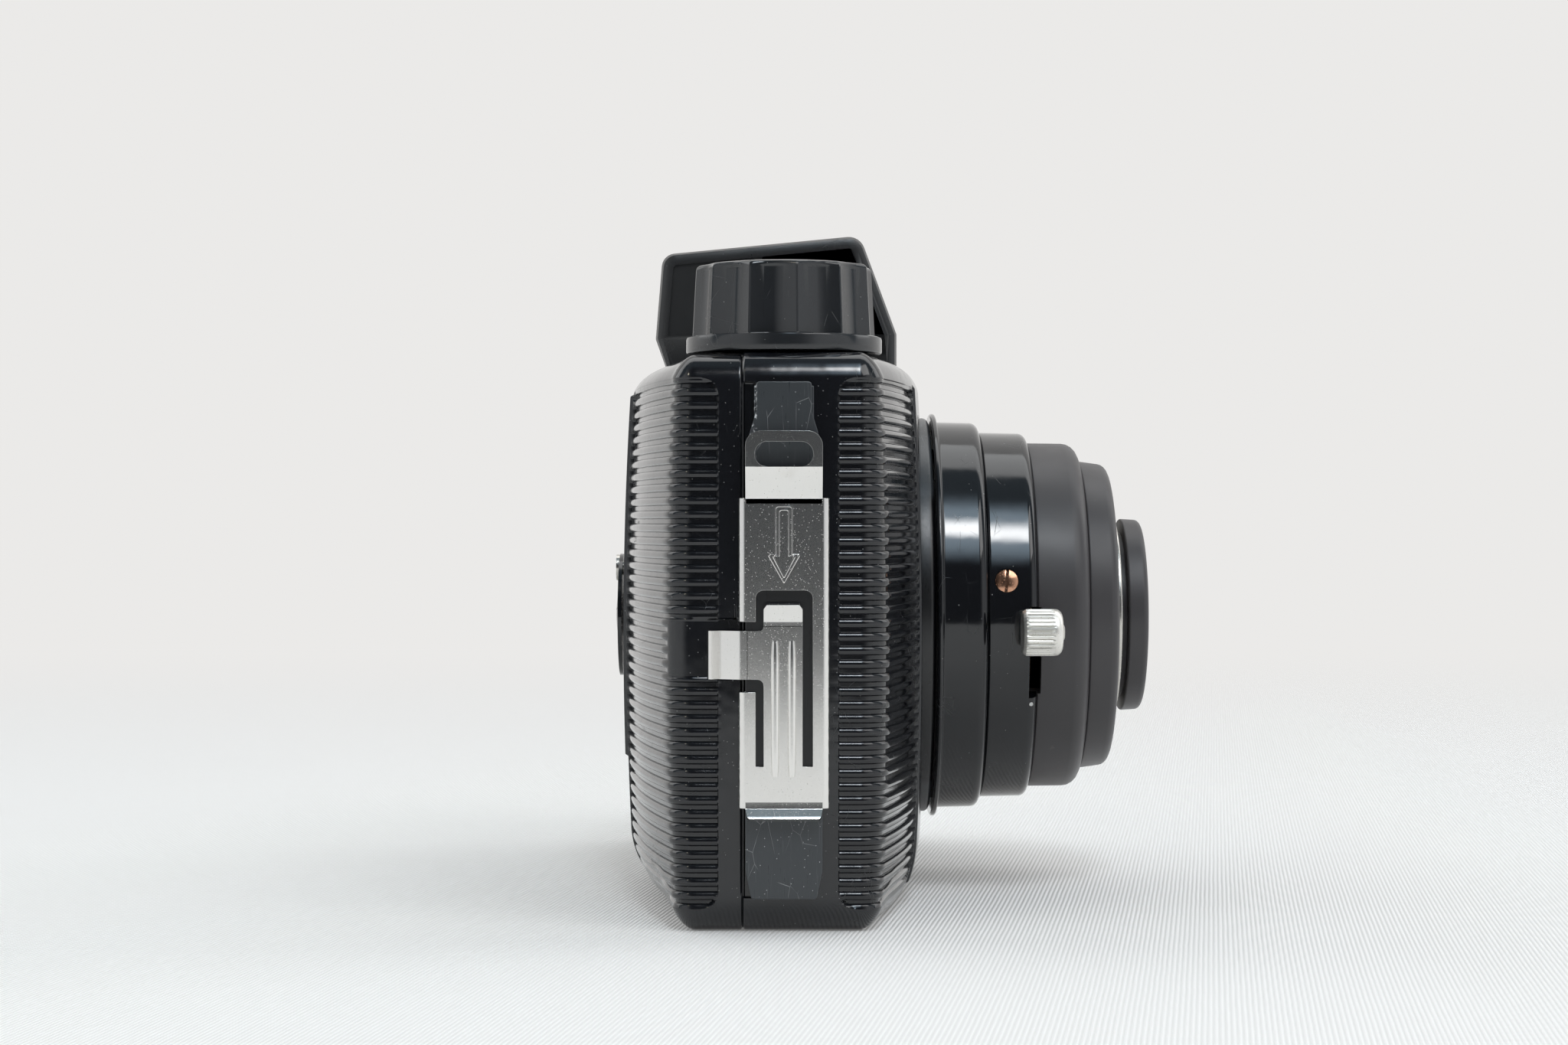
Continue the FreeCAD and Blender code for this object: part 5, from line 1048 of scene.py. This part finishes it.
def knurled(low, high):
    """Rows of (step in from the radius, y, share of knurling) turned about the knob's own axis along Y."""
    center = (low + high) / 2
    radius = (high[2] - low[2]) / 2
    back = high[1]
    front = low[1]
    rows = [(radius, back, 0), (0.75, back, 0), (0.35, back - 0.14, 0), (0.08, back - 0.55, 0.2),
            (0, back - 0.85, 0.9), (0, back - 1.2, 1), (0, front + 2.2, 1), (0, front + 1.9, 0.7),
            (0, front + 1.65, 0)]
    for k in np.linspace(0, math.pi / 2, 8):
        rows.append((1.25 * (1 - math.cos(k)), front + 1.5 - 1.15 * math.sin(k), 0))
    rows += [(1.55, front + 0.33, 0), (1.75, front + 0.42, 0), (2.1, front + 0.3, 0),
             (radius - 0.9, front + 0.02, 0), (radius, front, 0)]
    step, y, share = np.array(rows).T[..., None]
    angle = turns(KNURLS * 12)
    t = (angle / (2 * math.pi) * KNURLS) % 1.0 * 2 - 1
    r = radius - step - share * KNURL_DEPTH * np.clip(1 - 2 * np.abs(t), 0, 1)
    grid = stacked(center[0] + r * np.cos(angle), y, center[2] + r * np.sin(angle))
    return sheet_of(grid, close_columns=True)


release = make_mesh("knurled_release", [knurled(release_low, release_high)], 30)
dress(release, "release", nickel_knob, "nickel", "release_knob")

# %% [markdown]
# The clasp is stamped from one strip of spring steel and plated: a flat web with two flanges that grip the
# rail, a sprung tongue cut out of it, a hook arm that reaches round to the back cover, an arrow pressed
# into the web and drawn as its two thin raised edge lines, a bent neck with the strap eye above and a
# curled thumb lip below. It is drawn once with u as the distance out from the body's end, y across and z
# up, and the other clasp is its mirror image.

# %% Clasp
SHEET = 0.7
WEB_IN = 1.6
WEB_OUT = WEB_IN + SHEET
WIDE = 5.4
EYE_U = WEB_IN + 2.0
CROWN_Z = 68.5
CROWN_R = 2.1
TONGUE_Y = (-2.6, 2.85)
SLOTS_Y = (-4.04, 3.97)
ARM_Z = (35.8, 42.6)


def at_end(u, y, z):
    """Points at a distance u out from the -X end."""
    return stacked(-HALF_LENGTH - u, y, z)


def plate_cut(name, corners, r, start=-1.0, stop=6.0):
    """A cutter with rounded (y, z) corners that goes through the web along u."""
    return slab(name, rounded(corners, r, 6), 0, -HALF_LENGTH - start, -HALF_LENGTH - stop)


def offset_path(path, distance):
    """A path moved sideways by a distance, which may differ from point to point."""
    way = np.gradient(path, axis=0)
    normal = np.stack([way[:, 1], -way[:, 0]], -1)
    return path + normal / np.linalg.norm(normal, axis=1, keepdims=True) * distance


def bent_strip(path, y0, y1, widths=1.0):
    """A strip that follows a (u, z) path with its inner face, its outer one a sheet's thickness out."""
    outer = offset_path(path, SHEET)
    middle = (y0 + y1) / 2
    half = (y1 - y0) / 2
    edges = ((path, -1), (path, 1), (outer, 1), (outer, -1))
    lines = [at_end(p[:, 0], middle + side * half * widths, p[:, 1]) for p, side in edges]
    return block(np.stack(lines, 1))


def smooth_path(corners, r, steps=8):
    """An open path with rounded bends, as dense points."""
    corners = np.asarray(corners, float)
    out = [corners[:1]]
    for k in range(1, len(corners) - 1):
        out.append(rounded(corners[k - 1:k + 2], [0, r, 0], steps)[1:-1])
    out.append(corners[-1:])
    return np.concatenate(out)


def clasp_web():
    """The flat web with its flanges, cut out round the tongue and the hook arm."""
    half = np.array([(WEB_IN, 5.7, 0.25), (0.75, 5.7, 0.05), (0.75, 4.45, 0.1), (0.15, 4.45, 0.1),
                     (0.15, 6.4, 0.3), (WEB_OUT, 6.4, 1.05)])
    corners = np.concatenate([half[::-1] * (1, -1, 1), half])
    section = rounded(corners[:, :2], corners[:, 2], 8)
    levels = np.array([[17.75], [61.2]])
    web = make_mesh("clasp_web", [block(at_end(section[:, 0], section[:, 1], levels))], 30)
    carve(web,
          plate_cut("slot_left", rectangle(TONGUE_Y[1], SLOTS_Y[1], 23.6, 34.6), 0.12),
          plate_cut("slot_right", rectangle(SLOTS_Y[0], TONGUE_Y[0], 23.6, 45.0), 0.12),
          plate_cut("slot_top", rectangle(*SLOTS_Y, 43.3, 48.3), [0.1, 0.1, 1.1, 1.1]),
          plate_cut("gap_low", rectangle(TONGUE_Y[1], 9.0, 34.0, ARM_Z[0]), [0.4, 0.1, 0.1, 0.9]),
          plate_cut("gap_high", rectangle(TONGUE_Y[1], 9.0, ARM_Z[1], 43.9), [0.8, 0.1, 0.1, 0.1]),
          plate_cut("gap_side", rectangle(5.2, 9.0, 34.0, 43.9), 0.05))
    return soften(web, 0.14, 3)


def pressed_arrow():
    """Two thin raised lines round an arrow that points down: closed loops of a low rounded section."""
    lines = []
    for middle in (0.05, -0.42):
        loops = []
        for spread, u in ((0.11, -0.06), (0.085, 0.03), (0.0, 0.062), (-0.085, 0.03), (-0.11, -0.06)):
            wide = middle + spread
            line = [(0, 49.4 - 1.5 * wide), (2.2 + 1.3 * wide, 53.35 + 0.3 * wide),
                    (1.1 + wide, 53.3 + 0.5 * wide), (1.1 + wide, 60.0 + wide)]
            line = line + [(-y, z) for y, z in line[:0:-1]]
            loop = rounded(line, [0.12, 0.2, 0.08, 0.3, 0.3, 0.08, 0.2], 3)
            loops.append(at_end(WEB_OUT + u, loop[:, 0], loop[:, 1]))
        lines.append(hoop(loops))
    return make_mesh("pressed_arrow", lines, 40)


def clasp_beads():
    """The tongue's two stiffening beads: half-round, swelling as (1 - s^8)^0.5 with s from -1 to 1."""
    t = np.linspace(0, 1, 24)[1:-1, None]
    across = np.linspace(0, math.pi, 11)
    swell = np.sqrt(np.clip(1 - (2 * t - 1) ** 8, 0, 1))
    u = WEB_OUT - 0.12 + 0.50 * swell * np.sin(across)
    beads = [block(at_end(u, y + 0.60 * swell * np.cos(across), 21.3 + 20.8 * t)) for y in (1.25, -1.1)]
    return make_mesh("clasp_ribs", beads, 40)


def clasp_strips():
    """The tongue's raised tip, the hook arm with the crease at its bend, and the curled thumb lip."""
    tip = smooth_path([(WEB_IN, 43.2), (WEB_IN, 44.0), (WEB_IN + 0.30, 45.0), (WEB_IN + 0.62, 45.9),
                       (WEB_IN + 0.85, 46.5)], 1.0)
    taper = 1.0 - 0.16 * np.clip((tip[:, 1] - 45.8) / 0.7, 0, 1) ** 2
    hook = smooth_path([(WEB_IN, 5.1), (WEB_IN, 6.0), (0.15, 9.0), (1.25, 10.6)], 0.3)
    outer = offset_path(hook, SHEET - 0.34 * np.exp(-((hook[:, 1:2] - 9.05) / 0.16) ** 2))
    edges = ((hook, ARM_Z[0]), (hook, ARM_Z[1]), (outer, ARM_Z[1]), (outer, ARM_Z[0]))
    arm = block(np.stack([at_end(p[:, 0], p[:, 1], z) for p, z in edges], 1))
    tail = smooth_path([(WEB_IN + 1.3, 16.05), (WEB_IN + 1.15, 16.3), (WEB_IN + 0.05, 17.4),
                        (WEB_IN, 18.6)], 0.9)
    narrow = 1.0 - 0.10 * np.clip((16.8 - tail[:, 1]) / 0.75, 0, 1) ** 2
    parts = [bent_strip(tip, *TONGUE_Y, taper), arm, bent_strip(tail, -WIDE, WIDE, narrow)]
    return soften(make_mesh("clasp_strips", parts, 30), 0.14, 3)


def clasp_neck():
    """The bent neck whose top is a rounded plate with the strap eye."""
    path = smooth_path([(WEB_IN, 60.4), (WEB_IN, 61.3), (EYE_U, 65.5), (EYE_U, 70.6)], 0.8)
    top = np.linspace(0, math.pi / 2, 10)[1:]
    crown = np.stack([np.full(9, EYE_U), CROWN_Z + CROWN_R * np.sin(top)], -1)
    path = np.concatenate([path[:-1], [[EYE_U, CROWN_Z]], crown])
    widths = np.ones(len(path))
    widths[-9:] = (WIDE - CROWN_R + CROWN_R * np.cos(top)) / WIDE
    neck = make_mesh("clasp_neck", [bent_strip(path, -WIDE, WIDE, widths)], 30)
    carve(neck, plate_cut("eye_cut", rectangle(-4.1, 4.1, 65.6, 69.1), 1.74, 2.6, 8.0))
    return soften(neck, 0.22, 4)


def joined(name, pieces):
    """One object from several: their meshes, with the rounded edges made, are put one after the other."""
    both = bmesh.new()
    for piece in pieces:
        both.from_mesh(settled(piece))
        bpy.data.objects.remove(piece)
    mesh = bpy.data.meshes.new(name)
    both.to_mesh(mesh)
    both.free()
    return add_object(name, mesh)


right = joined("clasp_right", [clasp_web(), clasp_neck(), clasp_strips(), clasp_beads(), pressed_arrow()])
left = add_object("clasp_left", right.data.copy())
place = np.empty(len(left.data.vertices) * 3)
left.data.vertices.foreach_get("co", place)
left.data.vertices.foreach_set("co", (place.reshape(-1, 3) * (-1.0, 1.0, 1.0)).ravel())
left.data.flip_normals()
dress(right, "right_catch", nickel, "nickel", "right_clasp")
dress(left, "left_catch", nickel, "nickel", "left_clasp")

# %% [markdown]
# Everything that is left keeps the mesh of its CAD node and gets a procedural material by its slot.

# %% Small nodes
BY_SLOT = {"bakelite": bakelite, "matt_black": matt_black, "nickel": nickel_fine, "steel": steel,
           "brass": brass, "blackened_metal": blackened, "glass": glass, "red_film_window": red_glass,
           "white_mark": white_mark}
for name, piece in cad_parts.items():
    materials = piece.data.materials
    for k, old in enumerate(list(materials)):
        slot_name = old.name.split(".")[0] if old else ""
        materials[k] = blackened if name == "helical_sleeve" else BY_SLOT.get(slot_name, old)

# %% [markdown]
# The stage: a pale cloth that runs back and curves up behind the camera, laid out in metres. It ends just
# in front of the photographer, which is why the upper part of every flat metal face looks dark and the
# lower part, which mirrors the cloth, looks white. The main light is a tall narrow bright patch in the
# world, high on the photographer's side and a little towards the lens. Behind the object the world is
# white, in front of it a dim room. A wide weak area lamp and a small warm one fill in.

# %% Stage, lamps and surround
FLOOR_EDGE = -0.62
FLOOR_BACK = 1.1
FLOOR_CURVE_R = 0.9
a = np.linspace(0, math.pi / 2, 24)
run = np.concatenate([[FLOOR_EDGE, 0.4], FLOOR_BACK + FLOOR_CURVE_R * np.sin(a),
                      [FLOOR_BACK + FLOOR_CURVE_R]])
rise = np.concatenate([[0.0, 0.0], FLOOR_CURVE_R * (1 - np.cos(a)), [3.2]])
floor = make_mesh("sweep", [sheet_of(stacked(run[:, None], [-3.0, 3.0], rise[:, None]) / MM)], 60)
cloth = Finish("pale_cloth", (0.80, 0.80, 0.79), 0.85)
threads = cloth.node("ShaderNodeTexWave", {"wave_type": "BANDS", "bands_direction": "Y"},
                     {"Vector": cloth.place((1.0, 1.0, 0.0), (0.0, 0.0, 0.14)), "Scale": 0.47,
                      "Distortion": 0.6, "Detail": 2.0, "Detail Scale": 0.2})
cloth.set(Base_Color=cloth.mix(threads * 0.9, (0.93, 0.93, 0.92), (0.80, 0.80, 0.79)),
          Normal=cloth.bump(threads, 0.6, 0.20))
backwards = cloth.axes(cloth.place())[0]
glow = cloth.node("ShaderNodeEmission", None, {"Color": (1.0, 0.99, 0.975), "Strength": 0.83})
blend = cloth.node("ShaderNodeMixShader", None, {0: backwards.between(-100.0, 900.0) * 0.85 + 0.15,
                                                  1: Field(cloth, cloth.shader.outputs[0]), 2: glow})
cloth.plug(cloth.tree.nodes["Material Output"].inputs["Surface"], blend)
floor.data.materials.append(cloth.material)


class Surround(Finish):
    """The world's node tree, with the same node helpers."""

    def __init__(self, name):
        self.world = bpy.data.worlds.new(name)
        self.world.use_nodes = True
        self.tree = self.world.node_tree
        self.background = self.tree.nodes["Background"]


surround = Surround("surround")
bpy.context.scene.world = surround.world
toward_back, sideways, upward = surround.axes(surround.node("ShaderNodeTexCoord", out=0))
across_plane = (toward_back * toward_back + upward * upward) ** 0.5
lean = (sideways * -1.0) / across_plane
rise = upward / across_plane
front = toward_back < 0.0
room = surround.mix((sideways * sideways).between(0.03, 0.50), (0.058, 0.062, 0.066), (0.72, 0.74, 0.76))
room = surround.mix(rise.between(0.90, 0.985), room, (0.20, 0.25, 0.28))
haze = lean.band(0.008, 0.022, 0.17, 0.24) * front * rise.band(0.50, 0.72, 0.90, 0.985)
core = lean.band(0.009, 0.017, 0.12, 0.20) * front * rise.band(0.72, 0.785, 0.815, 0.88)
room = surround.mix(haze, room, (2.6, 3.3, 3.9))
room = surround.mix(core, room, (19.0, 19.4, 19.8))
backdrop = surround.mix(upward.between(0.19, 0.30), (0.875, 0.885, 0.89), (1.95, 1.98, 1.99))
room = surround.mix(toward_back.between(0.10, 0.18), room, backdrop)
surround.plug(surround.background.inputs["Color"], room)
surround.background.inputs["Strength"].default_value = 1.0


def soft_lamp(name, side, rise, distance, width, height, radiance, color):
    """An area lamp that faces the lens axis, at an azimuth off -X towards -Y and an elevation in
    degrees."""
    data = bpy.data.lights.new(name, "AREA")
    data.shape = "RECTANGLE"
    data.size = height
    data.size_y = width
    data.energy = radiance * math.pi * width * height
    data.color = color
    side = math.radians(side)
    rise = math.radians(rise)
    flat = distance * math.cos(rise)
    lamp = add_object(name, data)
    lamp.location = (-flat * math.cos(side), -flat * math.sin(side),
                     distance * math.sin(rise) + LENS_Z * MM)
    lamp.rotation_euler = (0.0, -(math.pi / 2 - rise), side)


soft_lamp("wide_weak_light", 42.0, 48.0, 1.7, 0.90, 0.90, 2.5, (1.0, 1.0, 1.0))
soft_lamp("small_warm_light", -42.0, 44.0, 1.2, 0.10, 0.14, 9.0, (1.0, 0.93, 0.72))

# %% [markdown]
# The camera stands level half a metre from the winding-knob end, at the height of the upper third of the
# lens.

# %% Camera
CAMERA_DISTANCE = 0.495
CAMERA_HEIGHT = 0.0578
camera_data = bpy.data.cameras.new("camera")
camera_data.sensor_width = 36.0
camera_data.lens = 70.0
camera_data.clip_start = 0.01
camera = add_object("camera", camera_data)
camera.location = (-CAMERA_DISTANCE, 0.0, CAMERA_HEIGHT)
camera.rotation_euler = (math.pi / 2, 0.0, -math.pi / 2)
bpy.context.scene.camera = camera
bpy.context.scene.view_settings.view_transform = "Standard"
